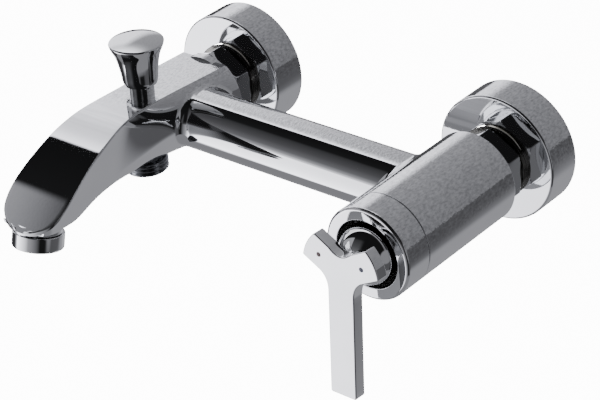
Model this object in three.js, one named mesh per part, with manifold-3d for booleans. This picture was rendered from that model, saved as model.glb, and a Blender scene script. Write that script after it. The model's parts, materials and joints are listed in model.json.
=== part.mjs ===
// Wall mounted bath faucet: one three.js scene graph, millimetres, +Z up.
// X runs along the wall, +Y points into the wall and Z is up. The origin lies on the wall's
// surface, midway between the two inlets and level with them, so the faucet stands out along -Y.
import * as THREE from 'three';
import { ConvexGeometry } from 'three/addons/geometries/ConvexGeometry.js';
import { mergeVertices } from 'three/addons/utils/BufferGeometryUtils.js';
import Module from 'manifold-3d';

const wasm = await Module();
wasm.setup();

const rad = THREE.MathUtils.degToRad;

// ---- driving dimensions ------------------------------------------------------------------
const INLET_X = 75; // half of the 150 mm inlet spacing
const GAP = 0.3; // clearance between touching pieces
const THROUGH = 1; // how far a cutter runs past the face it cuts
const SEGMENTS = 24; // sides of an ordinary round piece
const FINE_SEGMENTS = 36; // sides of the large round pieces
const MEDIUM_SEGMENTS = 20; // sides of bores and thin rings
const SMALL_SEGMENTS = 16; // sides of pins and small holes

// the two round bodies
const BODY_R = 20.93;
const BODY_BACK = -33.3;
const BODY_FRONT = -93.45; // right body, where the cap ring starts
const BODY_EDGE = 0.6; // chamfer at both ends of the right body
const REAR_BOSS_R = 17.8;
const REAR_BOSS_BACK = -31.6;

// cross bar between the bodies
const BAR_Y = -55.6;
const BAR_R = 14.14;
const BAR_FLARE = 5; // radius of the hollow fillet at each end of the bar
const BAR_END_X = 53.5; // where the fillets start

// left body and spout, one cross-section per line: the flat top's half width and height, the
// half width and height at the middle of the flank, and the height of the underside
const SPOUT_STATIONS = [
  { y: BODY_BACK, top: 13.0, topZ: 16.4, middle: BODY_R, middleZ: 0, lowZ: -BODY_R },
  { y: -50, top: 12.7, topZ: 17.1, middle: 18.7, middleZ: 1, lowZ: -18.4 },
  { y: -65, top: 12.2, topZ: 17.7, middle: 17.0, middleZ: 2, lowZ: -16 },
  { y: -80, top: 11.9, topZ: 18.1, middle: 15.9, middleZ: 3, lowZ: -14.6 },
  { y: -95, top: 12.4, topZ: 18.1, middle: 15.0, middleZ: 3, lowZ: -14 },
  { y: -104, top: 13.4, topZ: 17.1, middle: 14.6, middleZ: 3, lowZ: -14 },
  { y: -112, top: 14.4, topZ: 15.1, middle: 14.5, middleZ: 1, lowZ: -14.4 },
  { y: -120, top: 15.2, topZ: 12.2, middle: 14.3, middleZ: -2, lowZ: -15.4 },
  { y: -128, top: 15.9, topZ: 8.4, middle: 13.9, middleZ: -5, lowZ: -18 },
  { y: -136, top: 16.7, topZ: 3.8, middle: 13.3, middleZ: -9, lowZ: -19.8 },
  { y: -143, top: 17.0, topZ: -1.0, middle: 13.0, middleZ: -12, lowZ: -18.4 },
  { y: -148, top: 16.4, topZ: -4.85, middle: 12.6, middleZ: -13.5, lowZ: -17.6 },
  { y: -152, top: 14.6, topZ: -7.97, middle: 11.2, middleZ: -14, lowZ: -16.6 },
  { y: -155, top: 11.0, topZ: -10.33, middle: 9, middleZ: -14, lowZ: -15.8 },
  { y: -157, top: 6.6, topZ: -11.9, middle: 5.6, middleZ: -14, lowZ: -15.2 },
  { y: -158, top: 2.8, topZ: -12.7, middle: 2.5, middleZ: -13.8, lowZ: -14.8 },
];

// water channels inside the casting
const CHANNEL_R = 4.5;
const HOT_CHANNEL_Z = 6.5; // the hot one runs above the bar's axis, the mixed one below it
const INLET_CHANNEL = { aside: 5, z: 5 }; // from the hot inlet forward to the bar
const MIXED_CHANNEL_Z = -3.5; // from the bar forward to the diverter
const SPOUT_CHANNEL = [[-79.5, 8], [-100, 6], [-125, -3], [-144, -12.5]]; // [y, z] of its route
const PORT_R = 3;
const HOT_PORT = { x: INLET_X - 7.5, z: 4.5 };
const COLD_PORT = { x: INLET_X + 7.5, z: 4.5 };
const MIXED_PORT = { x: INLET_X, z: -7 };
const PORTS = [HOT_PORT, COLD_PORT, MIXED_PORT];

// wall covers
const ESCUTCHEON_R = 29;
const ESCUTCHEON_DEPTH = 17.75;
const ESCUTCHEON_WALL = 1.1;
const ESCUTCHEON_HOLE_R = 15.4;
const ESCUTCHEON_RISE = 1.3; // it hangs a little above the inlet's axis
const ESCUTCHEON_EDGE = 1.1;

// eccentric unions
const UNION_THREAD_R = 13.2; // G3/4
const WALL_THREAD_R = 10.4; // G1/2
const WALL_THREAD_END = 9;
const WALL_THREAD_FRONT = -3;
const WALL_THREAD_DROP = 6; // eccentric offset of the wall thread
const OFFSET_NECK_FRONT = -8; // the slanted neck between the two threads
const COLLAR_R = 16.6; // ridged collar in front of the escutcheon
const UNION_BORE_R = 7;
const UNION_FRONT = -24.4;

// union nuts and inlet tails
const NUT_FLATS = 30.5; // across flats
const NUT_FRONT = -31.3;
const NUT_BACK = -20.5;
const NUT_CHAMFER = 1.2;
const NUT_LIP = 1.8; // thickness of the lip that pulls on the tail's flange
const TAIL_R = 10.8;
const TAIL_BORE_R = 8;
const TAIL_DEPTH = -45.5;
const FLANGE_R = UNION_THREAD_R - 0.2;
const FLANGE_FRONT = NUT_FRONT + 2.1;
const FLANGE_BACK = FLANGE_FRONT + 2.2;

// cartridge, back to front
const CARTRIDGE_BORE_R = 17.6;
const CARTRIDGE_FLOOR = -70;
const CARTRIDGE_R = 17.2;
const CARTRIDGE_INNER_R = 13.3;
const PORT_SEAL_WIDTH = 1.4;
const BASE_BACK = CARTRIDGE_FLOOR - 1.9;
const BASE_FRONT = BASE_BACK - 4.6;
const DISC_THICKNESS = 3.5;
const FIXED_DISC_R = 13;
const FIXED_DISC_FRONT = BASE_FRONT - GAP - DISC_THICKNESS;
const MOVING_DISC_R = 9;
const MOVING_DISC_FRONT = FIXED_DISC_FRONT - GAP - DISC_THICKNESS;
const MIXING_POCKET = { r: 6, depth: 2 }; // hollow in the moving disc's back
const CARRIER_FRONT = MOVING_DISC_FRONT - GAP - 5;
const CARRIER_SOCKET_DEPTH = 4;
const HOUSING_SHOULDER = -88;
const HOUSING_NECK_R = CARTRIDGE_INNER_R + 1.7;
const HOUSING_FRONT = -97.5;
const HOUSING_LIP = 2;
const RETAINER_FRONT = -94.5;
const RETAINER_NOTCH = { width: 3, depth: 4 };
const RETAINER_NOTCHES = 4;
const GUIDE_R = 12.9;
const GUIDE_NECK_R = 9.2;
const GUIDE_SLOT_HALF = 7;
const PIVOT_Y = -101.5; // lever pivot inside the cartridge
const PIN_R = 1.2;
const EAR = { thickness: 2.6, halfHeight: 3, ahead: 2.2 }; // ears that hold the pivot pin

// lever stem, dome and plate
const LEVER_SWING = 22; // degrees between shut and fully open
const STEM_REACH = 13.5; // from the pivot to the stem's tip
const STEM_R = 2.6;
const STEM_OFFSET = STEM_REACH * Math.sin(rad(LEVER_SWING / 2));
const SHANK_HALF = 2.6; // square shank that carries the dome
const SHANK_FRONT = -115.8;
const DOME_Y = -105; // centre of the round dome behind the lever
const DOME_R = 13.4;
const DOME_WALL = 1.8;
const DOME_BACK = -103.5;
const DOME_FRONT = -118.1;
const HUB_R = 6.4;
const HUB_BACK = -108;
const SCREW_Y = -111.5;
const SCREW_R = 2;
const SCREW_HEAD_Z = -10.5;
const SCREW_HEX_R = 1.2;
const PLATE_FRONT = -125.03; // lever plate, front face at the body's axis
const PLATE_THICKNESS = 6;
const PLATE_EDGE = 0.6;
const PLATE_LEAN = 3.3; // degrees, foot forward
const PLATE_PAD_R = 5.4; // round pad that joins the plate to the dome
const ARM_R = 19.3; // the arms end on this circle
const ARM_TOP = 48; // degrees above level
const ARM_FOOT = 9;
const VALLEY = { x: 5.6, z: 10.4, pull: 5 }; // shallow valley between the arms
const ARMPIT = { x: 10.4, z: -1.5, pull: -4.2, foot: -9.5 }; // hollow corner under each arm
const LEG_HALF = 6.5;
const LEG_END = -57;
const LEG_CORNER = 0.8;
const DOT_X = 10.7; // hot and cold marks
const DOT_Z = 5.5;
const DOT_R = 0.9;
const DOT_DEPTH = 1;
const DOT_WELL_DEPTH = 1.3;

// cap ring around the dome
const CAP_BACK = -93.75;
const CAP_FRONT = -107.8;
const CAP_HOLE_R = 15.37;
const CAP_PLATE = 1.6;
const CAP_EDGE = 1.6;
const CAP_REAR_EDGE = 0.5;
const CAP_INNER_R = CARTRIDGE_BORE_R + 0.6;

// diverter
const DIVERTER_Y = -75.5;
const DIVERTER_BORE_R = 8.3;
const TOP_Z = 17.9; // flat top of the left body at the diverter
const SLEEVE_LOW = 2; // upper seat of the diverter
const SLEEVE_TOP = 14.3;
const SLEEVE_WALL = 1.7;
const SLEEVE_FLOOR = 1.8;
const SLEEVE_PORT = { r: 3.6, z: 8.6 };
const SEAT_TOP = -8; // lower seat of the diverter
const SEAT_R = 5;
const SEAT_SHIFT = 1.5; // the lower passage leans back towards the shower outlet
const VALVE_LOW = SEAT_TOP + GAP;
const VALVE_ROD_R = 1.6;
const VALVE_TAIL = 1.5;
const SEAL_R = 7.2;
const SEAL_HEIGHT = 3;
const COLLAR_LOW = VALVE_LOW + 3.4; // small collar on the stem above the seal
const COLLAR_HIGH = VALVE_LOW + 4;
const STEM_ROD_R = 2.2;
const BONNET_R = 5.7;
const BONNET_LOW = 14.6;
const BONNET_TOP = 30.5;
const BONNET_FLANGE_TOP = TOP_Z - 0.1;
const KNOB_SOCKET_TOP = 37;
const KNOB_HOLLOW_TOP = 31.5;
const SKIRT_Z = 23;
const KNOB_PROFILE = [ // [radius, z] from the skirt up to the crown
  [7.5, SKIRT_Z], [7.8, 24], [8.2, 27], [8.8, 31], [9.6, 35], [10.8, 38.6], [12.0, 41.2],
  [12.35, 42.3], [12.1, 43], [9.2, 44.2], [5, 45.2], [0, 45.6],
];
const SPRING = { wire: 0.5, turns: 6, stepsPerTurn: 8, clearance: 1.1 };

// shower outlet
const OUTLET_Y = -78;
const OUTLET_R = 10.3; // G1/2 thread
const OUTLET_BORE_R = 6.5;
const OUTLET_END = -19.5;
const OUTLET_SHANK_R = 8;
const OUTLET_SHANK_TOP = -11;
const OUTLET_SPOT_FACE = -13.9; // flat cut under the left body
const OUTLET_THREAD = { pitch: 1.8, ridges: 3, depth: 0.9, top: -14.2 };

// aerator, drawn around +Z with its mouth at z = 0
const AERATOR_R = 11.5;
const AERATOR_TILT = 14.5; // degrees, mouth forward
const AERATOR_Y = -148.6; // centre of the mouth
const AERATOR_Z = -24.2;
const AERATOR_HEIGHT = 7;
const AERATOR_EDGE = 0.5;
const AERATOR_LIP_R = 9;
const AERATOR_STUB_BORE = 7.6;
const AERATOR_STUB_R = 10;
const STUB_LOW = 3;
const INSERT_Z = 0.9;
const INSERT_FLANGE = 1.2;
const INSERT_TOP = 6;
const INSERT_WALL = 0.8;
const INSERT_R = AERATOR_STUB_BORE - GAP;
const SPRAY_HOLE_R = 0.85;
const SPRAY_RINGS = [[0, 1], [2.6, 5], [5.2, 10]]; // [ring radius, holes]

const CHROME = { color: 0xd4d6da, roughness: 0.08, metalness: 1 };
const BRASS = { color: 0xb08d4a, roughness: 0.35, metalness: 1 };
const STEEL = { color: 0x9a9da0, roughness: 0.3, metalness: 1 };
const RUBBER = { color: 0x1c1c1e, roughness: 0.8, metalness: 0 };
const CERAMIC = { color: 0xe9e4da, roughness: 0.25, metalness: 0 };
const PLASTIC = { color: 0xd9dcdf, roughness: 0.5, metalness: 0 };
const HOT = { color: 0xa8322c, roughness: 0.4, metalness: 0 };
const COLD = { color: 0x2c4fa8, roughness: 0.4, metalness: 0 };

// ---- helpers -----------------------------------------------------------------------------
function solid(geometry) {
  const bare = geometry.index ? geometry.toNonIndexed() : geometry.clone();
  bare.deleteAttribute('normal');
  bare.deleteAttribute('uv');
  const merged = mergeVertices(bare, 1e-4);
  const vertProperties = new Float32Array(merged.attributes.position.array);
  const triVerts = new Uint32Array(merged.index.array);
  return new wasm.Manifold(new wasm.Mesh({ numProp: 3, vertProperties, triVerts }));
}

function geometryOf(manifold) {
  const mesh = manifold.getMesh();
  const geometry = new THREE.BufferGeometry();
  geometry.setAttribute('position', new THREE.BufferAttribute(new Float32Array(mesh.vertProperties), 3));
  geometry.setIndex(new THREE.BufferAttribute(new Uint32Array(mesh.triVerts), 1));
  return geometry;
}

// A turned solid from [radius, height] points, with its axis on +Z through (x, y).
function turnedZ(points, x, y, segments = SEGMENTS) {
  const profile = points.map(([r, h]) => new THREE.Vector2(r, h));
  const geometry = new THREE.LatheGeometry(profile, segments);
  geometry.rotateX(Math.PI / 2);
  geometry.translate(x, y, 0);
  return solid(geometry);
}

// A turned solid from [radius, y] points, with its axis on Y through (x, z).
function turnedY(points, x, z, segments = SEGMENTS) {
  const profile = points.map(([r, y]) => new THREE.Vector2(r, y));
  const geometry = new THREE.LatheGeometry(profile, segments);
  geometry.translate(x, 0, z);
  return solid(geometry);
}

function diskY(radius, y0, y1, x, z, segments = SEGMENTS) {
  const low = Math.min(y0, y1);
  const high = Math.max(y0, y1);
  return turnedY([[0, low], [radius, low], [radius, high], [0, high]], x, z, segments);
}

function ringY(outer, inner, y0, y1, x, z, segments = SEGMENTS) {
  const low = Math.min(y0, y1);
  const high = Math.max(y0, y1);
  const profile = [[inner, low], [outer, low], [outer, high], [inner, high], [inner, low]];
  return turnedY(profile, x, z, segments);
}

function diskZ(radius, z0, z1, x, y, segments = SEGMENTS) {
  return turnedZ([[0, z0], [radius, z0], [radius, z1], [0, z1]], x, y, segments);
}

function ringZ(outer, inner, z0, z1, x, y, segments = SEGMENTS) {
  return turnedZ([[inner, z0], [outer, z0], [outer, z1], [inner, z1], [inner, z0]], x, y, segments);
}

function diskX(radius, x0, x1, y, z, segments = SEGMENTS) {
  const geometry = new THREE.CylinderGeometry(radius, radius, x1 - x0, segments);
  geometry.rotateZ(Math.PI / 2);
  geometry.translate((x0 + x1) / 2, y, z);
  return solid(geometry);
}

function box(x0, x1, y0, y1, z0, z1) {
  const geometry = new THREE.BoxGeometry(x1 - x0, y1 - y0, z1 - z0);
  geometry.translate((x0 + x1) / 2, (y0 + y1) / 2, (z0 + z1) / 2);
  return solid(geometry);
}

// Joins the convex hulls of neighbouring sections into one solid.
function hullChain(sections) {
  let joined = null;
  for (let i = 0; i + 1 < sections.length; i += 1) {
    const piece = solid(new ConvexGeometry([...sections[i], ...sections[i + 1]]));
    joined = joined ? joined.add(piece) : piece;
  }
  return joined;
}

const group = new THREE.Group();

function addMesh(name, shape, look) {
  const geometry = shape.isBufferGeometry ? shape : geometryOf(shape);
  const mesh = new THREE.Mesh(geometry, new THREE.MeshStandardMaterial(look));
  mesh.name = name;
  group.add(mesh);
  return mesh;
}

// ---- mixer body: one casting -------------------------------------------------------------
// One cross-section of the left body at y: a flat top edge at (top, topZ), flanks that reach
// out to (middle, middleZ) and a rounded underside down to lowZ.
function spoutSection({ y, top, topZ, middle, middleZ, lowZ }) {
  const right = [];
  const UPPER_STEPS = 3;
  for (let i = 0; i <= UPPER_STEPS; i += 1) {
    const t = i / UPPER_STEPS;
    const bulge = Math.sin(t * Math.PI / 2);
    const drop = 1 - Math.cos(t * Math.PI / 2);
    right.push([top + (middle - top) * bulge, topZ + (middleZ - topZ) * drop]);
  }
  const LOWER_STEPS = 5;
  for (let i = 1; i <= LOWER_STEPS; i += 1) {
    const t = (i / LOWER_STEPS) * Math.PI / 2;
    right.push([middle * Math.cos(t), middleZ + (lowZ - middleZ) * Math.sin(t)]);
  }
  const points = [];
  for (const [x, z] of right) {
    points.push(new THREE.Vector3(-INLET_X + x, y, z));
    points.push(new THREE.Vector3(-INLET_X - x, y, z));
  }
  return points;
}

// Places a solid that was drawn around +Z with its mouth at z = 0 at the aerator's mouth.
function atAerator(shape) {
  return shape.rotate([-AERATOR_TILT, 0, 0]).translate([-INLET_X, AERATOR_Y, AERATOR_Z]);
}

// The cross bar, with a hollow fillet at each end where it meets a body.
function crossBar() {
  const profile = [[0, -BAR_END_X - BAR_FLARE]];
  const ARC_STEPS = 5;
  for (let i = 0; i <= ARC_STEPS; i += 1) {
    const t = (1 - i / ARC_STEPS) * Math.PI / 2;
    profile.push([BAR_R + BAR_FLARE * (1 - Math.cos(t)), -BAR_END_X - BAR_FLARE * Math.sin(t)]);
  }
  for (let i = 0; i <= ARC_STEPS; i += 1) {
    const t = (i / ARC_STEPS) * Math.PI / 2;
    profile.push([BAR_R + BAR_FLARE * (1 - Math.cos(t)), BAR_END_X + BAR_FLARE * Math.sin(t)]);
  }
  profile.push([0, BAR_END_X + BAR_FLARE]);
  const geometry = new THREE.LatheGeometry(profile.map(([r, h]) => new THREE.Vector2(r, h)), SEGMENTS);
  geometry.rotateZ(-Math.PI / 2);
  geometry.translate(0, BAR_Y, 0);
  return solid(geometry);
}

function inletBore(x) {
  return diskY(TAIL_R + GAP, TAIL_DEPTH - GAP, BODY_BACK + 4, x, 0);
}

function waterways() {
  const cuts = [
    inletBore(-INLET_X),
    inletBore(INLET_X),
    diskX(CHANNEL_R, -INLET_X + 2, INLET_X - 4, BAR_Y, HOT_CHANNEL_Z, SMALL_SEGMENTS),
    diskX(CHANNEL_R, -INLET_X - 4, INLET_X + 3, BAR_Y, -HOT_CHANNEL_Z, SMALL_SEGMENTS),
    diskY(CHANNEL_R, TAIL_DEPTH + 0.5, BAR_Y, INLET_CHANNEL.aside - INLET_X, INLET_CHANNEL.z, SMALL_SEGMENTS),
    diskY(CHANNEL_R, BAR_Y, DIVERTER_Y + 4, -INLET_X, MIXED_CHANNEL_Z, SMALL_SEGMENTS),
    diskY(PORT_R, CARTRIDGE_FLOOR - THROUGH, BAR_Y, HOT_PORT.x, HOT_PORT.z, SMALL_SEGMENTS),
    diskY(PORT_R, CARTRIDGE_FLOOR - THROUGH, TAIL_DEPTH + 0.5, COLD_PORT.x, COLD_PORT.z, SMALL_SEGMENTS),
    diskY(PORT_R, CARTRIDGE_FLOOR - THROUGH, BAR_Y, MIXED_PORT.x, MIXED_PORT.z, SMALL_SEGMENTS),
    diskY(CARTRIDGE_BORE_R, CARTRIDGE_FLOOR, BODY_FRONT - THROUGH, INLET_X, 0),
    diskZ(DIVERTER_BORE_R, SEAT_TOP, TOP_Z + 5, -INLET_X, DIVERTER_Y),
    diskZ(SEAT_R, OUTLET_END, SEAT_TOP + THROUGH, -INLET_X, DIVERTER_Y - SEAT_SHIFT, MEDIUM_SEGMENTS),
    diskZ(OUTLET_SHANK_R + GAP, OUTLET_END, OUTLET_SHANK_TOP + GAP, -INLET_X, OUTLET_Y),
    diskZ(OUTLET_R + 0.7, OUTLET_END, OUTLET_SPOT_FACE, -INLET_X, OUTLET_Y),
    spoutChannel(),
    atAerator(diskZ(AERATOR_STUB_BORE, 2, 15, 0, 0, SEGMENTS)),
  ];
  return cuts;
}

function spoutChannel() {
  const stops = SPOUT_CHANNEL.map(([y, z]) => new THREE.Vector3(-INLET_X, y, z));
  const route = new THREE.CatmullRomCurve3(stops);
  const section = new THREE.Shape();
  section.absarc(0, 0, CHANNEL_R, 0, Math.PI * 2);
  const tube = new THREE.ExtrudeGeometry(section, { extrudePath: route, steps: 14, curveSegments: 8 });
  return solid(tube);
}

function mixerBody() {
  let body = hullChain(SPOUT_STATIONS.map(spoutSection));
  body = body.add(crossBar());
  body = body.add(turnedY([
    [0, BODY_FRONT],
    [BODY_R - BODY_EDGE, BODY_FRONT],
    [BODY_R, BODY_FRONT + BODY_EDGE],
    [BODY_R, BODY_BACK - BODY_EDGE],
    [BODY_R - BODY_EDGE, BODY_BACK],
    [0, BODY_BACK],
  ], INLET_X, 0, FINE_SEGMENTS));
  for (const x of [-INLET_X, INLET_X]) {
    body = body.add(diskY(REAR_BOSS_R, BODY_BACK - THROUGH, REAR_BOSS_BACK, x, 0));
  }
  const stub = ringZ(AERATOR_STUB_R, AERATOR_STUB_BORE, STUB_LOW, AERATOR_HEIGHT + 2, 0, 0);
  const holder = diskZ(AERATOR_R + 0.6, AERATOR_HEIGHT + GAP, AERATOR_HEIGHT + 6, 0, 0);
  const spoutEnd = atAerator(box(-30, 30, -30, 18, -20, AERATOR_HEIGHT + GAP));
  body = body.subtract(spoutEnd).add(atAerator(holder)).add(atAerator(stub));
  for (const cut of waterways()) {
    body = body.subtract(cut);
  }
  return body;
}

// ---- wall unions -------------------------------------------------------------------------
function circleSection(radius, y, x, z, count = 18) {
  const points = [];
  for (let i = 0; i < count; i += 1) {
    const a = (i / count) * Math.PI * 2;
    points.push(new THREE.Vector3(x + radius * Math.cos(a), y, z + radius * Math.sin(a)));
  }
  return points;
}

function eccentricUnion(x) {
  const wallZ = -WALL_THREAD_DROP;
  let union = diskY(WALL_THREAD_R, WALL_THREAD_FRONT, WALL_THREAD_END, x, wallZ, MEDIUM_SEGMENTS);
  union = union.add(hullChain([
    circleSection(WALL_THREAD_R + 1, WALL_THREAD_FRONT + 1, x, wallZ),
    circleSection(UNION_THREAD_R - 1, OFFSET_NECK_FRONT, x, 0),
  ]));
  union = union.add(diskY(UNION_THREAD_R, UNION_FRONT, OFFSET_NECK_FRONT + 0.5, x, 0));
  union = union.add(diskY(COLLAR_R, NUT_BACK + GAP, -ESCUTCHEON_DEPTH - GAP, x, 0));
  const frontBore = OFFSET_NECK_FRONT + 1;
  const wallBore = WALL_THREAD_FRONT - 1;
  union = union.subtract(diskY(UNION_BORE_R, UNION_FRONT - THROUGH, frontBore, x, 0, MEDIUM_SEGMENTS));
  union = union.subtract(diskY(UNION_BORE_R, wallBore, WALL_THREAD_END + THROUGH, x, wallZ, MEDIUM_SEGMENTS));
  return union.subtract(hullChain([
    circleSection(UNION_BORE_R - 0.4, wallBore + 0.5, x, wallZ),
    circleSection(UNION_BORE_R - 0.4, frontBore - 0.5, x, 0),
  ]));
}

function escutcheon(x) {
  const front = -ESCUTCHEON_DEPTH;
  const outer = ESCUTCHEON_R;
  const inner = outer - ESCUTCHEON_WALL;
  const profile = [
    [ESCUTCHEON_HOLE_R, front],
    [outer - ESCUTCHEON_EDGE, front],
    [outer - 0.3, front + 0.3],
    [outer, front + ESCUTCHEON_EDGE],
    [outer, 0],
    [inner, 0],
    [inner, front + ESCUTCHEON_WALL],
    [ESCUTCHEON_HOLE_R, front + ESCUTCHEON_WALL],
    [ESCUTCHEON_HOLE_R, front],
  ];
  return turnedY(profile, x, ESCUTCHEON_RISE, FINE_SEGMENTS);
}

function unionNut(x) {
  const corner = NUT_FLATS / 2 / Math.cos(Math.PI / 6);
  const hexagon = new THREE.CylinderGeometry(corner, corner, NUT_BACK - NUT_FRONT, 6);
  hexagon.translate(0, (NUT_BACK + NUT_FRONT) / 2, 0);
  hexagon.translate(x, 0, 0);
  const round = turnedY([
    [0, NUT_FRONT],
    [corner - NUT_CHAMFER, NUT_FRONT],
    [corner + 0.1, NUT_FRONT + NUT_CHAMFER],
    [corner + 0.1, NUT_BACK - NUT_CHAMFER],
    [corner - NUT_CHAMFER, NUT_BACK],
    [0, NUT_BACK],
  ], x, 0);
  let nut = solid(hexagon).intersect(round);
  nut = nut.subtract(diskY(TAIL_R + GAP, NUT_FRONT - THROUGH, NUT_BACK, x, 0));
  return nut.subtract(diskY(UNION_THREAD_R + GAP, NUT_FRONT + NUT_LIP, NUT_BACK + THROUGH, x, 0));
}

function inletTail(x) {
  const profile = [
    [TAIL_BORE_R, TAIL_DEPTH],
    [TAIL_R, TAIL_DEPTH],
    [TAIL_R, FLANGE_FRONT],
    [FLANGE_R, FLANGE_FRONT],
    [FLANGE_R, FLANGE_BACK],
    [TAIL_BORE_R, FLANGE_BACK],
    [TAIL_BORE_R, TAIL_DEPTH],
  ];
  return turnedY(profile, x, 0);
}

function inletWasher(x) {
  return ringY(FLANGE_R - 0.1, TAIL_BORE_R, FLANGE_BACK + GAP, UNION_FRONT - GAP, x, 0);
}

// ---- cartridge ---------------------------------------------------------------------------
function portSeal(port) {
  const outer = PORT_R + PORT_SEAL_WIDTH;
  const back = CARTRIDGE_FLOOR - GAP;
  return ringY(outer, PORT_R, back, BASE_BACK + GAP, port.x, port.z, SMALL_SEGMENTS);
}

function portedDisc(radius, back, front) {
  let disc = diskY(radius, back, front, INLET_X, 0);
  for (const port of PORTS) {
    disc = disc.subtract(diskY(PORT_R, back + THROUGH, front - THROUGH, port.x, port.z, SMALL_SEGMENTS));
  }
  return disc;
}

function cartridgeHousing() {
  const back = BASE_FRONT - GAP;
  const profile = [
    [CARTRIDGE_INNER_R, back],
    [CARTRIDGE_R, back],
    [CARTRIDGE_R, HOUSING_SHOULDER],
    [HOUSING_NECK_R, HOUSING_SHOULDER],
    [HOUSING_NECK_R, HOUSING_FRONT],
    [GUIDE_NECK_R + GAP, HOUSING_FRONT],
    [GUIDE_NECK_R + GAP, HOUSING_FRONT + HOUSING_LIP],
    [CARTRIDGE_INNER_R, HOUSING_FRONT + HOUSING_LIP],
    [CARTRIDGE_INNER_R, back],
  ];
  return turnedY(profile.reverse(), INLET_X, 0);
}

function retainingNut() {
  const back = HOUSING_SHOULDER - GAP;
  const outer = CARTRIDGE_BORE_R - GAP;
  let nut = ringY(outer, HOUSING_NECK_R + GAP, RETAINER_FRONT, back, INLET_X, 0);
  const { width, depth } = RETAINER_NOTCH;
  for (let i = 0; i < RETAINER_NOTCHES; i += 1) {
    const notch = new THREE.BoxGeometry(width, depth, depth);
    notch.translate(CARTRIDGE_BORE_R - 0.5, RETAINER_FRONT, 0);
    notch.rotateY((i / RETAINER_NOTCHES) * Math.PI * 2);
    notch.translate(INLET_X, 0, 0);
    nut = nut.subtract(solid(notch));
  }
  return nut;
}

function movingDisc() {
  const back = FIXED_DISC_FRONT - GAP;
  const disc = diskY(MOVING_DISC_R, MOVING_DISC_FRONT, back, INLET_X, STEM_OFFSET);
  const { r, depth } = MIXING_POCKET;
  const pocket = diskY(r, back - depth, back + THROUGH, INLET_X, STEM_OFFSET, MEDIUM_SEGMENTS);
  return disc.subtract(pocket);
}

function discCarrier() {
  const back = MOVING_DISC_FRONT - GAP;
  const carrier = diskY(MOVING_DISC_R, CARRIER_FRONT, back, INLET_X, STEM_OFFSET);
  const floor = CARRIER_FRONT + CARRIER_SOCKET_DEPTH;
  const socketR = STEM_R + 2 * GAP;
  const mouth = CARRIER_FRONT - THROUGH;
  return carrier.subtract(diskY(socketR, mouth, floor, INLET_X, STEM_OFFSET, MEDIUM_SEGMENTS));
}

function rotaryGuide() {
  const back = CARRIER_FRONT - GAP;
  const shoulder = HOUSING_FRONT + HOUSING_LIP + GAP;
  const neckFront = HOUSING_FRONT - 0.5;
  let guide = turnedY([
    [0, neckFront],
    [GUIDE_NECK_R, neckFront],
    [GUIDE_NECK_R, shoulder],
    [GUIDE_R, shoulder],
    [GUIDE_R, back],
    [0, back],
  ], INLET_X, 0);
  const slotX = STEM_R + 0.5;
  const half = GUIDE_SLOT_HALF;
  const slotFront = neckFront - THROUGH;
  guide = guide.subtract(box(INLET_X - slotX, INLET_X + slotX, slotFront, back + THROUGH, -half, half));
  for (const side of [-1, 1]) {
    const inside = INLET_X + side * (slotX + 0.2);
    const outside = inside + side * EAR.thickness;
    const left = Math.min(inside, outside);
    const right = Math.max(inside, outside);
    const tip = PIVOT_Y - EAR.ahead;
    guide = guide.add(box(left, right, tip, neckFront + 2, -EAR.halfHeight, EAR.halfHeight));
  }
  return guide.subtract(pinHole());
}

function pinHole() {
  return diskX(PIN_R + GAP, INLET_X - GUIDE_R, INLET_X + GUIDE_R, PIVOT_Y, 0, SMALL_SEGMENTS);
}

function pivotPin() {
  const half = STEM_R + EAR.thickness + 0.6;
  return diskX(PIN_R, INLET_X - half, INLET_X + half, PIVOT_Y, 0, SMALL_SEGMENTS);
}

// The stem leans half a swing back, so that its tip runs evenly to both sides of the centre.
function leverStem() {
  const front = -5;
  const back = STEM_REACH - 1;
  const rod = new THREE.CylinderGeometry(STEM_R - 0.2, STEM_R - 0.2, back - front, SMALL_SEGMENTS);
  rod.translate(0, (back + front) / 2, 0);
  let stem = solid(rod);
  const tip = new THREE.SphereGeometry(STEM_R, SMALL_SEGMENTS, 8);
  tip.translate(0, STEM_REACH, 0);
  stem = stem.add(solid(tip));
  stem = stem.rotate([LEVER_SWING / 2, 0, 0]).translate([INLET_X, PIVOT_Y, 0]);
  const half = SHANK_HALF;
  stem = stem.add(box(INLET_X - half, INLET_X + half, SHANK_FRONT, PIVOT_Y - 2, -half, half));
  return stem.subtract(pinHole());
}

function cartridgeCap() {
  const bevel = CAP_EDGE * (1 - Math.SQRT1_2);
  const profile = [
    [CAP_HOLE_R, CAP_FRONT],
    [BODY_R - CAP_EDGE, CAP_FRONT],
    [BODY_R - bevel, CAP_FRONT + bevel],
    [BODY_R, CAP_FRONT + CAP_EDGE],
    [BODY_R, CAP_BACK - CAP_REAR_EDGE],
    [BODY_R - CAP_REAR_EDGE, CAP_BACK],
    [CAP_INNER_R, CAP_BACK],
    [CAP_INNER_R, CAP_FRONT + CAP_PLATE],
    [CAP_HOLE_R, CAP_FRONT + CAP_PLATE],
    [CAP_HOLE_R, CAP_FRONT],
  ];
  return turnedY(profile, INLET_X, 0, FINE_SEGMENTS);
}

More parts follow.
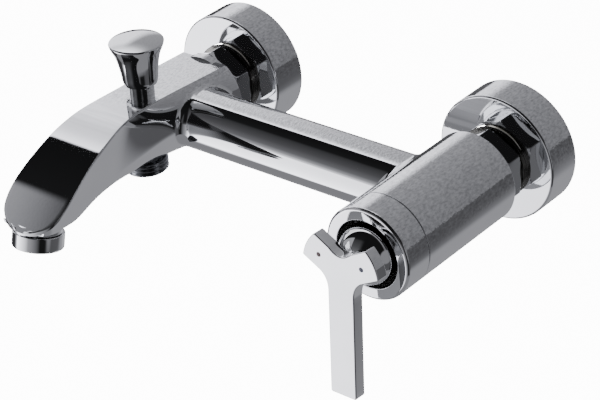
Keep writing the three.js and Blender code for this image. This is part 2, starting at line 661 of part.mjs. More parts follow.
// ---- lever -------------------------------------------------------------------------------
function handleDome() {
  const ball = new THREE.SphereGeometry(DOME_R, 28, 14);
  ball.translate(INLET_X, DOME_Y, 0);
  const hollow = new THREE.SphereGeometry(DOME_R - DOME_WALL, SMALL_SEGMENTS, SMALL_SEGMENTS / 2);
  hollow.translate(INLET_X, DOME_Y, 0);
  const reach = 1.5 * DOME_R;
  const left = INLET_X - reach;
  const right = INLET_X + reach;
  let dome = solid(ball).subtract(solid(hollow));
  dome = dome.subtract(box(left, right, DOME_BACK, DOME_BACK + reach, -reach, reach));
  dome = dome.add(diskY(HUB_R, DOME_FRONT + 0.5, HUB_BACK, INLET_X, 0));
  dome = dome.subtract(box(left, right, DOME_FRONT - reach, DOME_FRONT, -reach, reach));
  const socket = SHANK_HALF + GAP;
  const socketFront = SHANK_FRONT - GAP;
  dome = dome.subtract(box(INLET_X - socket, INLET_X + socket, socketFront, DOME_BACK, -socket, socket));
  return dome.subtract(diskZ(SCREW_R + GAP, -DOME_R - THROUGH, 0, INLET_X, SCREW_Y, SMALL_SEGMENTS));
}

function setScrew() {
  const tip = -SHANK_HALF - 2 * GAP;
  const screw = diskZ(SCREW_R, SCREW_HEAD_Z, tip, INLET_X, SCREW_Y, SMALL_SEGMENTS);
  const socket = new THREE.CylinderGeometry(SCREW_HEX_R, SCREW_HEX_R, 2 * SCREW_R, 6);
  socket.rotateX(Math.PI / 2);
  socket.translate(INLET_X, SCREW_Y, SCREW_HEAD_Z);
  return screw.subtract(solid(socket));
}

// Front outline of the lever: two arms that end on a circle around the body's axis, with a
// shallow valley between them, hollow corners under the arms and a straight leg.
function leverOutline() {
  const armTop = rad(ARM_TOP);
  const armFoot = rad(ARM_FOOT);
  const shape = new THREE.Shape();
  shape.moveTo(-LEG_HALF + LEG_CORNER, LEG_END);
  shape.lineTo(LEG_HALF - LEG_CORNER, LEG_END);
  shape.lineTo(LEG_HALF, LEG_END + LEG_CORNER);
  shape.lineTo(LEG_HALF, ARMPIT.foot);
  shape.quadraticCurveTo(LEG_HALF, ARMPIT.pull, ARMPIT.x, ARMPIT.z);
  shape.lineTo(ARM_R * Math.cos(armFoot), ARM_R * Math.sin(armFoot));
  shape.absarc(0, 0, ARM_R, armFoot, armTop, false);
  shape.lineTo(VALLEY.x, VALLEY.z);
  shape.quadraticCurveTo(0, VALLEY.pull, -VALLEY.x, VALLEY.z);
  shape.lineTo(-ARM_R * Math.cos(armTop), ARM_R * Math.sin(armTop));
  shape.absarc(0, 0, ARM_R, Math.PI - armTop, Math.PI - armFoot, false);
  shape.lineTo(-ARMPIT.x, ARMPIT.z);
  shape.quadraticCurveTo(-LEG_HALF, ARMPIT.pull, -LEG_HALF, ARMPIT.foot);
  shape.lineTo(-LEG_HALF, LEG_END + LEG_CORNER);
  shape.closePath();
  return shape;
}

// Stands a piece that was drawn in XY with its front at z = 0 up as the lever's leaning plate.
function onPlate(geometry) {
  geometry.rotateX(Math.PI / 2);
  geometry.rotateX(-rad(PLATE_LEAN));
  geometry.translate(INLET_X, PLATE_FRONT, 0);
  return geometry;
}

// A round peg in the plate's front, sunk to the given depth and standing out by ahead.
function dot(side, radius, depth, ahead = 0) {
  const peg = new THREE.CylinderGeometry(radius, radius, depth + ahead, SMALL_SEGMENTS);
  peg.rotateX(Math.PI / 2);
  peg.translate(side * DOT_X, DOT_Z, (ahead - depth) / 2);
  return onPlate(peg);
}

function lever() {
  const plate = new THREE.ExtrudeGeometry(leverOutline(), {
    depth: PLATE_THICKNESS - 2 * PLATE_EDGE,
    bevelEnabled: true,
    bevelThickness: PLATE_EDGE,
    bevelSize: PLATE_EDGE,
    bevelOffset: -PLATE_EDGE,
    bevelSegments: 1,
    curveSegments: 8,
  });
  plate.translate(0, 0, PLATE_EDGE - PLATE_THICKNESS);
  let shape = solid(onPlate(plate));
  const padFront = PLATE_FRONT + PLATE_THICKNESS / 2;
  shape = shape.add(diskY(PLATE_PAD_R, padFront, DOME_FRONT - GAP, INLET_X, 0, MEDIUM_SEGMENTS));
  for (const side of [-1, 1]) {
    shape = shape.subtract(solid(dot(side, DOT_R + GAP, DOT_WELL_DEPTH, THROUGH)));
  }
  return shape;
}

// ---- diverter ----------------------------------------------------------------------------
function knob() {
  const inside = [
    [0, KNOB_SOCKET_TOP],
    [STEM_ROD_R + GAP, KNOB_SOCKET_TOP],
    [STEM_ROD_R + GAP, KNOB_HOLLOW_TOP],
    [BONNET_R + 0.4, KNOB_HOLLOW_TOP],
    [BONNET_R + 0.4, SKIRT_Z],
  ];
  return turnedZ([...inside, ...KNOB_PROFILE], -INLET_X, DIVERTER_Y, 28);
}

// The bonnet screws in flush with the flat top, and its neck guides the knob's skirt.
function bonnet() {
  const profile = [
    [STEM_ROD_R + GAP, BONNET_LOW],
    [DIVERTER_BORE_R - GAP, BONNET_LOW],
    [DIVERTER_BORE_R - GAP, BONNET_FLANGE_TOP],
    [BONNET_R, BONNET_FLANGE_TOP],
    [BONNET_R, BONNET_TOP],
    [STEM_ROD_R + GAP, BONNET_TOP],
    [STEM_ROD_R + GAP, BONNET_LOW],
  ];
  return turnedZ(profile, -INLET_X, DIVERTER_Y);
}

function sleeve() {
  const outer = DIVERTER_BORE_R - GAP;
  const inner = outer - SLEEVE_WALL;
  const floor = SLEEVE_LOW + SLEEVE_FLOOR;
  const tube = turnedZ([
    [SEAT_R, SLEEVE_LOW],
    [outer, SLEEVE_LOW],
    [outer, SLEEVE_TOP],
    [inner, SLEEVE_TOP],
    [inner, floor],
    [SEAT_R, floor],
    [SEAT_R, SLEEVE_LOW],
  ], -INLET_X, DIVERTER_Y);
  const { r, z } = SLEEVE_PORT;
  const front = DIVERTER_Y - 1.5 * outer;
  const back = DIVERTER_Y + 1.5 * outer;
  return tube.subtract(diskY(r, front, back, -INLET_X, z, SMALL_SEGMENTS));
}

function diverterStem() {
  const profile = [
    [0, COLLAR_LOW],
    [STEM_ROD_R + 1.6, COLLAR_LOW],
    [STEM_ROD_R + 1.6, COLLAR_HIGH],
    [STEM_ROD_R, COLLAR_HIGH],
    [STEM_ROD_R, KNOB_SOCKET_TOP - GAP],
    [0, KNOB_SOCKET_TOP - GAP],
  ];
  const rod = turnedZ(profile, -INLET_X, DIVERTER_Y, MEDIUM_SEGMENTS);
  const low = VALVE_LOW - VALVE_TAIL;
  return rod.add(diskZ(VALVE_ROD_R, low, COLLAR_LOW + 0.2, -INLET_X, DIVERTER_Y, SMALL_SEGMENTS));
}

// Return spring: an open helix around the stem, from the stem's shoulder up to the bonnet.
function diverterSpring() {
  const { wire, turns, stepsPerTurn, clearance } = SPRING;
  const meanR = STEM_ROD_R + clearance;
  const low = COLLAR_HIGH + GAP + wire;
  const high = BONNET_LOW - GAP - wire;
  const steps = turns * stepsPerTurn;
  const points = [];
  for (let i = 0; i <= steps; i += 1) {
    const t = i / steps;
    const a = t * turns * Math.PI * 2;
    const x = -INLET_X + meanR * Math.cos(a);
    points.push(new THREE.Vector3(x, DIVERTER_Y + meanR * Math.sin(a), low + (high - low) * t));
  }
  const section = new THREE.Shape();
  section.absarc(0, 0, wire, 0, Math.PI * 2);
  const extrudePath = new THREE.CatmullRomCurve3(points);
  return solid(new THREE.ExtrudeGeometry(section, { extrudePath, steps, curveSegments: 3 }));
}

function diverterSeal() {
  return ringZ(SEAL_R, VALVE_ROD_R + GAP, VALVE_LOW, VALVE_LOW + SEAL_HEIGHT, -INLET_X, DIVERTER_Y);
}

function showerOutlet() {
  const { pitch, ridges, depth, top } = OUTLET_THREAD;
  const root = OUTLET_R - depth;
  const thread = [];
  for (let i = 0; i < ridges; i += 1) {
    const low = OUTLET_END + GAP + i * pitch;
    thread.push([root, low]);
    thread.push([OUTLET_R, low + pitch * 0.35]);
    thread.push([OUTLET_R, low + pitch * 0.6]);
  }
  const profile = [
    [OUTLET_BORE_R, OUTLET_END],
    [root, OUTLET_END],
    ...thread,
    [OUTLET_SHANK_R, top],
    [OUTLET_SHANK_R, OUTLET_SHANK_TOP],
    [OUTLET_BORE_R, OUTLET_SHANK_TOP],
    [OUTLET_BORE_R, OUTLET_END],
  ];
  return turnedZ(profile, -INLET_X, OUTLET_Y);
}

// ---- aerator -----------------------------------------------------------------------------
function aeratorHousing() {
  const floor = INSERT_Z - GAP;
  return atAerator(turnedZ([
    [AERATOR_LIP_R, 0],
    [AERATOR_R - AERATOR_EDGE, 0],
    [AERATOR_R, AERATOR_EDGE],
    [AERATOR_R, AERATOR_HEIGHT],
    [AERATOR_STUB_R + GAP, AERATOR_HEIGHT],
    [AERATOR_STUB_R + GAP, floor],
    [AERATOR_LIP_R, floor],
    [AERATOR_LIP_R, 0],
  ], 0, 0));
}

function aeratorInsert() {
  const flangeTop = INSERT_Z + INSERT_FLANGE;
  let insert = turnedZ([
    [0, INSERT_Z],
    [AERATOR_STUB_R, INSERT_Z],
    [AERATOR_STUB_R, flangeTop],
    [INSERT_R, flangeTop],
    [INSERT_R, INSERT_TOP],
    [0, INSERT_TOP],
  ], 0, 0);
  const cupR = INSERT_R - INSERT_WALL;
  const cupFloor = flangeTop + INSERT_WALL;
  insert = insert.subtract(diskZ(cupR, cupFloor, INSERT_TOP + THROUGH, 0, 0, MEDIUM_SEGMENTS));
  for (const [ring, count] of SPRAY_RINGS) {
    for (let i = 0; i < count; i += 1) {
      const a = (i / count) * Math.PI * 2;
      const x = ring * Math.cos(a);
      insert = insert.subtract(diskZ(SPRAY_HOLE_R, 0, 2 * cupFloor, x, ring * Math.sin(a), 6));
    }
  }
  return atAerator(insert);
}

function aeratorSeal() {
  const low = INSERT_Z + INSERT_FLANGE + GAP;
  return atAerator(ringZ(AERATOR_STUB_R - 0.1, INSERT_R + GAP, low, STUB_LOW - GAP, 0, 0));
}

// ---- the assembly ------------------------------------------------------------------------
addMesh('mixer_body', mixerBody(), CHROME);

for (const [side, x] of [['left', -INLET_X], ['right', INLET_X]]) {
  addMesh(`${side}_eccentric_union`, eccentricUnion(x), BRASS);
  addMesh(`${side}_escutcheon`, escutcheon(x), CHROME);
  addMesh(`${side}_union_nut`, unionNut(x), CHROME);
  addMesh(`${side}_inlet_tail`, inletTail(x), BRASS);
  addMesh(`${side}_inlet_washer`, inletWasher(x), RUBBER);
}

addMesh('hot_port_seal', portSeal(HOT_PORT), RUBBER);
addMesh('cold_port_seal', portSeal(COLD_PORT), RUBBER);
addMesh('mixed_port_seal', portSeal(MIXED_PORT), RUBBER);
addMesh('cartridge_base', portedDisc(CARTRIDGE_R, BASE_BACK, BASE_FRONT), PLASTIC);
addMesh('fixed_ceramic_disc', portedDisc(FIXED_DISC_R, BASE_FRONT - GAP, FIXED_DISC_FRONT), CERAMIC);
addMesh('moving_ceramic_disc', movingDisc(), CERAMIC);
addMesh('disc_carrier', discCarrier(), PLASTIC);
addMesh('rotary_guide', rotaryGuide(), PLASTIC);
addMesh('lever_pivot_pin', pivotPin(), STEEL);
addMesh('cartridge_housing', cartridgeHousing(), PLASTIC);
addMesh('cartridge_retaining_nut', retainingNut(), BRASS);
addMesh('cartridge_cap', cartridgeCap(), CHROME);

addMesh('lever_stem', leverStem(), STEEL);
addMesh('handle_dome', handleDome(), CHROME);
addMesh('handle_set_screw', setScrew(), STEEL);
addMesh('lever_plate', lever(), CHROME);
addMesh('hot_indicator', dot(-1, DOT_R, DOT_DEPTH), HOT);
addMesh('cold_indicator', dot(1, DOT_R, DOT_DEPTH), COLD);

addMesh('diverter_knob', knob(), CHROME);
addMesh('diverter_bonnet', bonnet(), CHROME);
addMesh('diverter_sleeve', sleeve(), BRASS);
addMesh('diverter_stem', diverterStem(), STEEL);
addMesh('diverter_seal', diverterSeal(), RUBBER);
addMesh('diverter_spring', diverterSpring(), STEEL);
addMesh('shower_outlet_nipple', showerOutlet(), BRASS);

addMesh('aerator_housing', aeratorHousing(), CHROME);
addMesh('aerator_insert', aeratorInsert(), PLASTIC);
addMesh('aerator_seal', aeratorSeal(), RUBBER);

export default group;
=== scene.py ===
"""Wall mounted bath faucet: fine surfaces, finishes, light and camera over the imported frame."""

import json
import math

import bmesh
import bpy
import numpy as np
from mathutils import Matrix, Vector
from mathutils.bvhtree import BVHTree


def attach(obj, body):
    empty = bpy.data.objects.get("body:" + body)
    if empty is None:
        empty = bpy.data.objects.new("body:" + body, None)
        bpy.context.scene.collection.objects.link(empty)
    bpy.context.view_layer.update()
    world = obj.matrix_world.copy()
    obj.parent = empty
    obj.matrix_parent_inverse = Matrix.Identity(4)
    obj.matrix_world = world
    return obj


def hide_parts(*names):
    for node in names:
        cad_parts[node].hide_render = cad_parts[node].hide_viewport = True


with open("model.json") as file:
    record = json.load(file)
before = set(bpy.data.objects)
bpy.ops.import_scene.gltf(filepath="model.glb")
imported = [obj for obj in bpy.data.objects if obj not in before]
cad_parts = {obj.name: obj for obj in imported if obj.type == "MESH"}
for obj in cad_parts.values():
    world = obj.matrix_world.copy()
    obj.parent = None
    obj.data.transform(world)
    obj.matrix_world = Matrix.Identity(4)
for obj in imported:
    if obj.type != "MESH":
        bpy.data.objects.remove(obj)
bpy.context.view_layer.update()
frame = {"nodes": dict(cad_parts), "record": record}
NODES = frame["nodes"]

# ---------------------------------------------------------------- driving sizes, mm
INLET_X = 75.0  # half of the inlet spacing

# the two round bodies and the bar between them
BODY_R = 20.93
BODY_BACK = -33.3
BODY_FRONT = -93.45
BODY_REAR_ROUND = 0.5
BODY_FRONT_ROUND = 0.25
RECESS_DEPTH = 6.0  # open mouth in front of the right body, under the cap
REAR_BOSS_R = 17.8
REAR_BOSS_BACK = -31.6
REAR_BOSS_ROUND = 0.3
BOSS_END = 36.0  # in front of the wall, inside the left body
BAR_Y = -55.6
BAR_R = 14.14
BAR_HALF = 62.0
BAR_FILLET = 5.0
SPOUT_BOSS_R = 10.6  # round root above the aerator
SPOUT_BOSS_LOW = 7.3
SPOUT_BOSS_HIGH = 11.0
SPOUT_BOSS_ROUND = 0.4

# wall side
ESCUTCHEON_R = 29.0
ESCUTCHEON_DEPTH = 17.75
ESCUTCHEON_WALL = 1.1
ESCUTCHEON_HOLE_R = 15.4
ESCUTCHEON_RISE = 1.3
COLLAR_R = 16.6
COLLAR_BACK = 17.6
COLLAR_FRONT = 20.3
COLLAR_RIDGES = (18.05, 20.2)
COLLAR_PITCH = 1.07
UNION_THREAD_R = 13.2
UNION_BORE_R = 7.0
UNION_FRONT = 24.4
UNION_SHADED_FROM = 17.8  # painted shade on the fitting from just in front of the cover
UNION_SHELL = [(13.0, 6.0), (15.0, 8.0), (15.0, 17.7)]  # (radius, distance in front of the wall)
WALL_THREAD_R = 10.4
WALL_THREAD_DEPTH = 1.0
WALL_THREAD_PITCH = 1.8
WALL_THREAD_FRONT = 6.4
WALL_THREAD_END = 9.0
WALL_THREAD_DROP = 6.0
NUT_FLATS = 30.5
NUT_FRONT = -31.3
NUT_BACK = -20.5
NUT_CORNER_ROUND = 0.7
NUT_CHAMFER_SLOPE = 1.75
NUT_CHAMFER_LEVELS = [0, 0.15, 0.4, 0.8, 1.2, 1.6]  # distances in from each end
TAIL_R = 10.8
CARTRIDGE_BORE_R = 17.6

# handle side
CAP_BACK = -93.75
CAP_FRONT = -107.8
CAP_HOLE_R = 15.37
CAP_ROUND = 1.6
CAP_HOLE_SHADED_FROM = 1.2  # painted shade on the hole's wall from this far behind its front
DOME_Y = -105.0
DOME_R = 13.4
DOME_WALL = 1.8
DOME_BACK = -103.5
DOME_FRONT = -118.1
DOME_FLAT_R = 2.5
PLATE_FRONT = -125.03
PLATE_THICKNESS = 6.0
PLATE_EDGE = 0.55
PLATE_LEAN = 3.3
PAD_R = 5.4  # round pad behind the plate
PAD_BACK = -8.2
ARM_R = 19.3
ARM_TOP = 48.0
ARM_FOOT = 9.0
ARM_CORNER = 0.7
ARMPIT = (10.4, -1.5)
ARMPIT_PULL = -4.2
ARMPIT_FOOT = -9.5
VALLEY = (5.6, 10.4)
VALLEY_PULL = 5.0
VALLEY_CORNER = 0.6
LEG_HALF = 6.5
LEG_END = -57.0
LEG_CORNER = 0.9
DOT_X = 10.7
DOT_Z = 5.5
DOT_R = 1.15  # with the lacquer that fills its well to the brim
DOT_DEPTH = 1.0

# diverter, shower outlet and aerator
DIVERTER_Y = -75.5
BONNET_R = 5.7
NECK_LOW = 15.0
NECK_TOP = 30.5
KNOB_BORE_R = 5.9
KNOB_BORE_TOP = 37.0
KNOB_HOLLOW_TOP = 40.0
KNOB_SKIRT = [  # (radius, z)
    (7.5, 23.0),
    (7.8, 24.0),
    (8.2, 27.0),
    (8.8, 31.0),
    (9.6, 35.0),
    (10.8, 38.6),
    (12.0, 41.2),
    (12.35, 42.3),
]
KNOB_RIM = [(12.42, 42.55), (12.4, 42.75), (12.28, 42.95), (12.05, 43.12)]
KNOB_CROWN_RISE = 2.48
OUTLET_Y = -78.0
OUTLET_R = 10.3
OUTLET_END = -19.5
OUTLET_TOP = -13.6
OUTLET_BORE_R = 6.5
OUTLET_SHANK_R = 8.0
OUTLET_SHANK_TOP = -11.0
OUTLET_PITCH = 1.8
AERATOR_R = 11.5
AERATOR_TILT = 14.5
AERATOR_Y = -148.6
AERATOR_Z = -24.2
AERATOR_HEIGHT = 7.0
AERATOR_INNER_R = 8.4
AERATOR_LIP_R = 9.6
GRID_RIM = (7.2, 8.3)  # radii; the heights below are in from the mouth
GRID_RIM_HEIGHTS = (0.6, 5.0)
GRID_RINGS = (1.2, 2.7, 4.2, 5.7)
GRID_RING_WALL = 0.35
GRID_RING_HEIGHTS = (1.0, 4.0)
GRID_SPOKE_HEIGHTS = (1.1, 3.8)
GRID_PLATE_HEIGHTS = (4.4, 5.0)
GRID_PLATE_R = 7.4
GRID_SPOKES = 8
GRID_STRIP = 0.36  # width of a web of the grid

MM = 0.001
ROUND = 160  # sides of a round piece
BRIGHTEST = 16.0  # of the studio, as a multiple of a white card
FLOOR_Z = -0.35  # m
FLOOR_GLOW = 13.0
BACKDROP_GLOW = 13.5
CAMERA_PLACE = (0.55556, -0.68806, 0.46544)  # m
CAMERA_ANGLES = (41.78, 30.08, -4.77)  # azimuth, elevation and roll, degrees
CAMERA_SENSOR = 36
CAMERA_LENS = 132.7
CAMERA_SHIFT = (0.0151, -0.0042)


# ---------------------------------------------------------------- mesh helpers
def to_object(name, bm, body, material, stands_for=(), sharp=35.0):
    """A piece from a bmesh in millimetres, smooth but for the edges sharper than the given angle."""
    bmesh.ops.remove_doubles(bm, verts=bm.verts, dist=1e-4)
    bmesh.ops.recalc_face_normals(bm, faces=bm.faces)
    mesh = bpy.data.meshes.new(name)
    bm.to_mesh(mesh)
    bm.free()
    mesh.transform(Matrix.Scale(MM, 4))
    for polygon in mesh.polygons:
        polygon.use_smooth = True
    mesh.set_sharp_from_angle(angle=math.radians(sharp))
    piece = bpy.data.objects.new(name, mesh)
    bpy.context.scene.collection.objects.link(piece)
    weighted = piece.modifiers.new("weighted_normal", "WEIGHTED_NORMAL")
    weighted.keep_sharp = True
    weighted.weight = 80
    mesh.materials.append(material)
    if stands_for:
        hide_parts(*stands_for)
    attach(piece, body)
    return piece


def paint(piece, material, chosen):
    """Give the faces whose centre, in metres, is chosen a second finish."""
    piece.data.materials.append(material)
    for polygon in piece.data.polygons:
        if chosen(polygon.center):
            polygon.material_index = 1


def rounded(corners, steps=6):
    """A plane outline from corners (a, b, radius), with an arc of that radius at each corner."""
    out = []
    count = len(corners)
    for i, (a, b, radius) in enumerate(corners):
        point = Vector((a, b))
        if radius <= 0:
            out.append(point)
            continue
        back = Vector(corners[i - 1][:2]) - point
        ahead = Vector(corners[(i + 1) % count][:2]) - point
        half = back.angle(ahead) / 2
        reach = min(radius / math.tan(half), 0.48 * back.length, 0.48 * ahead.length)
        real = reach * math.tan(half)
        back.normalize()
        ahead.normalize()
        centre = point + (back + ahead).normalized() * (real / math.sin(half))
        start = point + back * reach - centre
        end = point + ahead * reach - centre
        turn = start.angle_signed(end)
        for k in range(steps + 1):
            angle = turn * k / steps
            c, s = math.cos(angle), -math.sin(angle)
            arm = Vector((start.x * c - start.y * s, start.x * s + start.y * c))
            if (centre + arm - point).length > 2.2 * reach + 1e-6:
                arm = Vector((start.x * c + start.y * s, -start.x * s + start.y * c))
            out.append(centre + arm)
    return out


def add_revolved(bm, outline, place, sides=ROUND):
    """Turn a closed outline of (radius, height) about the local z axis into bm, moved by place."""
    rings = []
    for radius, height in outline:
        if radius < 1e-5:
            rings.append([bm.verts.new(place @ Vector((0, 0, height)))])
            continue
        ring = []
        for k in range(sides):
            angle = math.tau * k / sides
            ring.append(
                bm.verts.new(place @ Vector((radius * math.cos(angle), radius * math.sin(angle), height)))
            )
        rings.append(ring)
    for lower, upper in zip(rings, rings[1:] + rings[:1]):
        if len(lower) == 1 and len(upper) == 1:
            continue
        for k in range(sides):
            after = (k + 1) % sides
            corner = [
                lower[k % len(lower)],
                lower[after % len(lower)],
                upper[after % len(upper)],
                upper[k % len(upper)],
            ]
            loop = list(dict.fromkeys(corner))
            bm.faces.new(loop)


def along_y(x, z=0.0):
    """Local z runs along -Y: heights are distances in front of the wall."""
    return Matrix.Translation((x, 0, z)) @ Matrix.Rotation(math.radians(90), 4, "X")


def revolved(name, outline, place, body, material, stands_for=(), sides=ROUND, sharp=35.0):
    """A piece made by one turned outline."""
    bm = bmesh.new()
    add_revolved(bm, outline, place, sides)
    return to_object(name, bm, body, material, stands_for, sharp)


def add_prism(bm, outline, low, high, edge, place):
    """A plate of the given outline between two heights, with its edges rounded off by edge."""
    count = len(outline)
    normals = []
    for i in range(count):
        side = outline[(i + 1) % count] - outline[i - 1]
        normals.append(Vector((side.y, -side.x)).normalized())
    area = sum(outline[i - 1].cross(outline[i]) for i in range(count))
    if area < 0:
        normals = [-n for n in normals]
    levels = []
    steps = 4
    for k in range(steps + 1):
        angle = math.pi / 2 * k / steps
        levels.append((edge * (1 - math.sin(angle)), low + edge * (1 - math.cos(angle))))
    for k in range(steps + 1):
        angle = math.pi / 2 * k / steps
        levels.append((edge * (1 - math.cos(angle)), high - edge * (1 - math.sin(angle))))
    rings = []
    for inset, height in levels:
        rings.append(
            [
                bm.verts.new(place @ Vector((p.x - n.x * inset, p.y - n.y * inset, height)))
                for p, n in zip(outline, normals)
            ]
        )
    for lower, upper in zip(rings, rings[1:]):
        for k in range(count):
            after = (k + 1) % count
            bm.faces.new((lower[k], lower[after], upper[after], upper[k]))
    bm.faces.new(rings[0])
    bm.faces.new(rings[-1])


# ---------------------------------------------------------------- finishes
def node_material(name):
    material = bpy.data.materials.new(name)
    material.use_nodes = True
    tree = material.node_tree
    shader = tree.nodes["Principled BSDF"]
    coordinates = tree.nodes.new("ShaderNodeTexCoord")
    return material, tree, shader, coordinates.outputs["Object"]


def noise(tree, where, scale, detail=2.0, roughness=0.5):
    """A noise with about scale cells in one unit of where, which is a metre on an object."""
    node = tree.nodes.new("ShaderNodeTexNoise")
    node.inputs["Scale"].default_value = scale
    node.inputs["Detail"].default_value = detail
    node.inputs["Roughness"].default_value = roughness
    tree.links.new(where, node.inputs["Vector"])
    return node.outputs["Fac"]


def ramp(tree, value, stops):
    """A run of shades, or colours, between stops (position, shade)."""
    node = tree.nodes.new("ShaderNodeValToRGB")
    elements = node.color_ramp.elements
    while len(elements) < len(stops):
        elements.new(0.5)
    for element, (position, shade) in zip(elements, stops):
        element.position = position
        colour = shade if isinstance(shade, tuple) else (shade, shade, shade)
        element.color = (*colour, 1.0)
    tree.links.new(value, node.inputs["Fac"])
    return node.outputs["Color"]


def spread(tree, value, low, high):
    """A noise's usual range, stretched to run from low to high."""
    node = tree.nodes.new("ShaderNodeMapRange")
    node.inputs["From Min"].default_value = 0.3
    node.inputs["From Max"].default_value = 0.7
    node.inputs["To Min"].default_value = low
    node.inputs["To Max"].default_value = high
    tree.links.new(value, node.inputs["Value"])
    return node.outputs["Result"]


def math_node(tree, operation, *values):
    """One sum in a node tree; each value is a number or a socket."""
    node = tree.nodes.new("ShaderNodeMath")
    node.operation = operation
    for socket, value in zip(node.inputs, values):
        if isinstance(value, (int, float)):
            socket.default_value = value
        else:
            tree.links.new(value, socket)
    return node.outputs[0]


def blend_between(tree, value, start, end):
    """A soft step from 0 at start to 1 at end."""
    node = tree.nodes.new("ShaderNodeMapRange")
    node.interpolation_type = "SMOOTHSTEP"
    node.inputs["From Min"].default_value = start
    node.inputs["From Max"].default_value = end
    tree.links.new(value, node.inputs["Value"])
    return node.outputs["Result"]


def bump(tree, value, shader, distance):
    """Relief from a value, with its height in metres."""
    node = tree.nodes.new("ShaderNodeBump")
    node.inputs["Distance"].default_value = distance
    tree.links.new(value, node.inputs["Height"])
    tree.links.new(node.outputs["Normal"], shader.inputs["Normal"])


def finish(name, light, dark, metallic, smooth, rough, mottle, texture, depth, detail=2.0):
    """A procedural finish: two tints mottled by one noise, with gloss and relief from a second."""
    material, tree, shader, where = node_material(name)
    shader.inputs["Metallic"].default_value = metallic
    broad = noise(tree, where, mottle, 3.0)
    fine = noise(tree, where, texture, detail)
    tree.links.new(ramp(tree, broad, [(0.35, dark), (0.65, light)]), shader.inputs["Base Color"])
    tree.links.new(spread(tree, fine, smooth, rough), shader.inputs["Roughness"])
    bump(tree, fine, shader, depth)
    return material


CHROME = finish(
    "chrome", (0.90, 0.905, 0.915), (0.87, 0.878, 0.89), 1.0, 0.025, 0.045, 60, 820, 0.000045
)
CHROME_TRIM = finish(
    "chrome_trim", (0.91, 0.915, 0.92), (0.88, 0.887, 0.895), 1.0, 0.02, 0.04, 90, 700, 0.0000012
)


def grain_and_painted_glints_on_the_bodies(material):
    """Fine orange peel on top of the bodies, the bar and the covers, polished away everywhere else; painted
    glints there too: light and dark flecks multiplied into the base colour, standing in for reflections in
    the peel.
    """
    tree = material.node_tree
    coordinates = next(n for n in tree.nodes if n.type == "TEX_COORD")
    place = tree.nodes.new("ShaderNodeSeparateXYZ")
    tree.links.new(coordinates.outputs["Object"], place.inputs[0])
    facing = tree.nodes.new("ShaderNodeSeparateXYZ")
    tree.links.new(coordinates.outputs["Normal"], facing.inputs[0])
    behind = blend_between(tree, place.outputs["Y"], -0.098, -0.084)
    right_body = blend_between(tree, place.outputs["X"], 0.045, 0.050)
    behind = math_node(tree, "MAXIMUM", behind, right_body)
    aside = blend_between(tree, math_node(tree, "ABSOLUTE", place.outputs["X"]), 0.050, 0.058)
    cover = blend_between(tree, place.outputs["Y"], -0.030, -0.025)
    bar_top = blend_between(tree, facing.outputs["Y"], -0.40, -0.34)
    round_side = blend_between(tree, math_node(tree, "ABSOLUTE", facing.outputs["Y"]), 0.8, 0.5)
    where = math_node(tree, "MAXIMUM", aside, math_node(tree, "MAXIMUM", cover, bar_top))
    mask = math_node(tree, "MULTIPLY", behind, where)
    mask = math_node(tree, "MULTIPLY", mask, round_side)
    low = math_node(tree, "MAXIMUM", right_body, cover)
    low = math_node(tree, "MULTIPLY", low, blend_between(tree, facing.outputs["Z"], 0.0, 0.25))
    upward = math_node(tree, "MAXIMUM", low, blend_between(tree, facing.outputs["Z"], 0.45, 0.75))
    mask = math_node(tree, "MULTIPLY", mask, upward)
    relief = next(n for n in tree.nodes if n.type == "BUMP")
    tree.links.new(math_node(tree, "MULTIPLY_ADD", mask, 0.98, 0.02), relief.inputs["Strength"])
    drawn = tree.nodes.new("ShaderNodeVectorMath")
    drawn.operation = "MULTIPLY"
    drawn.inputs[1].default_value = (1.0, 0.42, 0.75)
    tree.links.new(coordinates.outputs["Object"], drawn.inputs[0])
    # painted glints: light and dark flecks in the base colour on the upward faces, standing in for the
    # reflections that the orange peel breaks up
    painted_glints = noise(tree, drawn.outputs["Vector"], 1150, 2.0, 0.55)
    shade = math_node(tree, "MULTIPLY_ADD", spread(tree, painted_glints, -0.30, 0.08), mask, 1.0)
    tint = tree.nodes.new("ShaderNodeVectorMath")
    tint.operation = "SCALE"
    shader = tree.nodes["Principled BSDF"]
    tree.links.new(shader.inputs["Base Color"].links[0].from_socket, tint.inputs[0])
    tree.links.new(shade, tint.inputs["Scale"])
    tree.links.new(tint.outputs["Vector"], shader.inputs["Base Color"])


grain_and_painted_glints_on_the_bodies(CHROME)
BRASS = finish("brass_turned", (0.46, 0.44, 0.37), (0.27, 0.26, 0.22), 1.0, 0.16, 0.32, 300, 900, 0.00002)
STEEL = finish("steel", (0.62, 0.63, 0.65), (0.50, 0.51, 0.53), 1.0, 0.22, 0.38, 200, 900, 0.00001)
DARK_METAL = finish(
    "outlet_metal", (0.40, 0.41, 0.43), (0.26, 0.27, 0.29), 1.0, 0.12, 0.26, 150, 900, 0.00001
)
# painted shade: a dark metal laid on the union's collar in the gap in front of the cover and on the wall of
# the cap's hole, where shade falls
PAINTED_SHADE_METAL = finish(
    "painted_shade_metal", (0.20, 0.195, 0.18), (0.12, 0.118, 0.11), 1.0, 0.10, 0.18, 200, 900, 0.000002
)
RUBBER = finish(
    "rubber_black", (0.030, 0.030, 0.032), (0.018, 0.018, 0.020), 0.0, 0.6, 0.8, 200, 1400, 0.00003
)
CERAMIC = finish("ceramic_disc", (0.84, 0.81, 0.75), (0.78, 0.75, 0.69), 0.0, 0.12, 0.2, 90, 1200, 0.000004)
PLASTIC = finish(
    "cartridge_plastic", (0.76, 0.77, 0.79), (0.70, 0.71, 0.73), 0.0, 0.38, 0.5, 120, 1500, 0.000012
)
INSERT = finish(
    "aerator_plastic", (0.30, 0.31, 0.32), (0.22, 0.23, 0.24), 0.0, 0.4, 0.55, 150, 1600, 0.00001
)
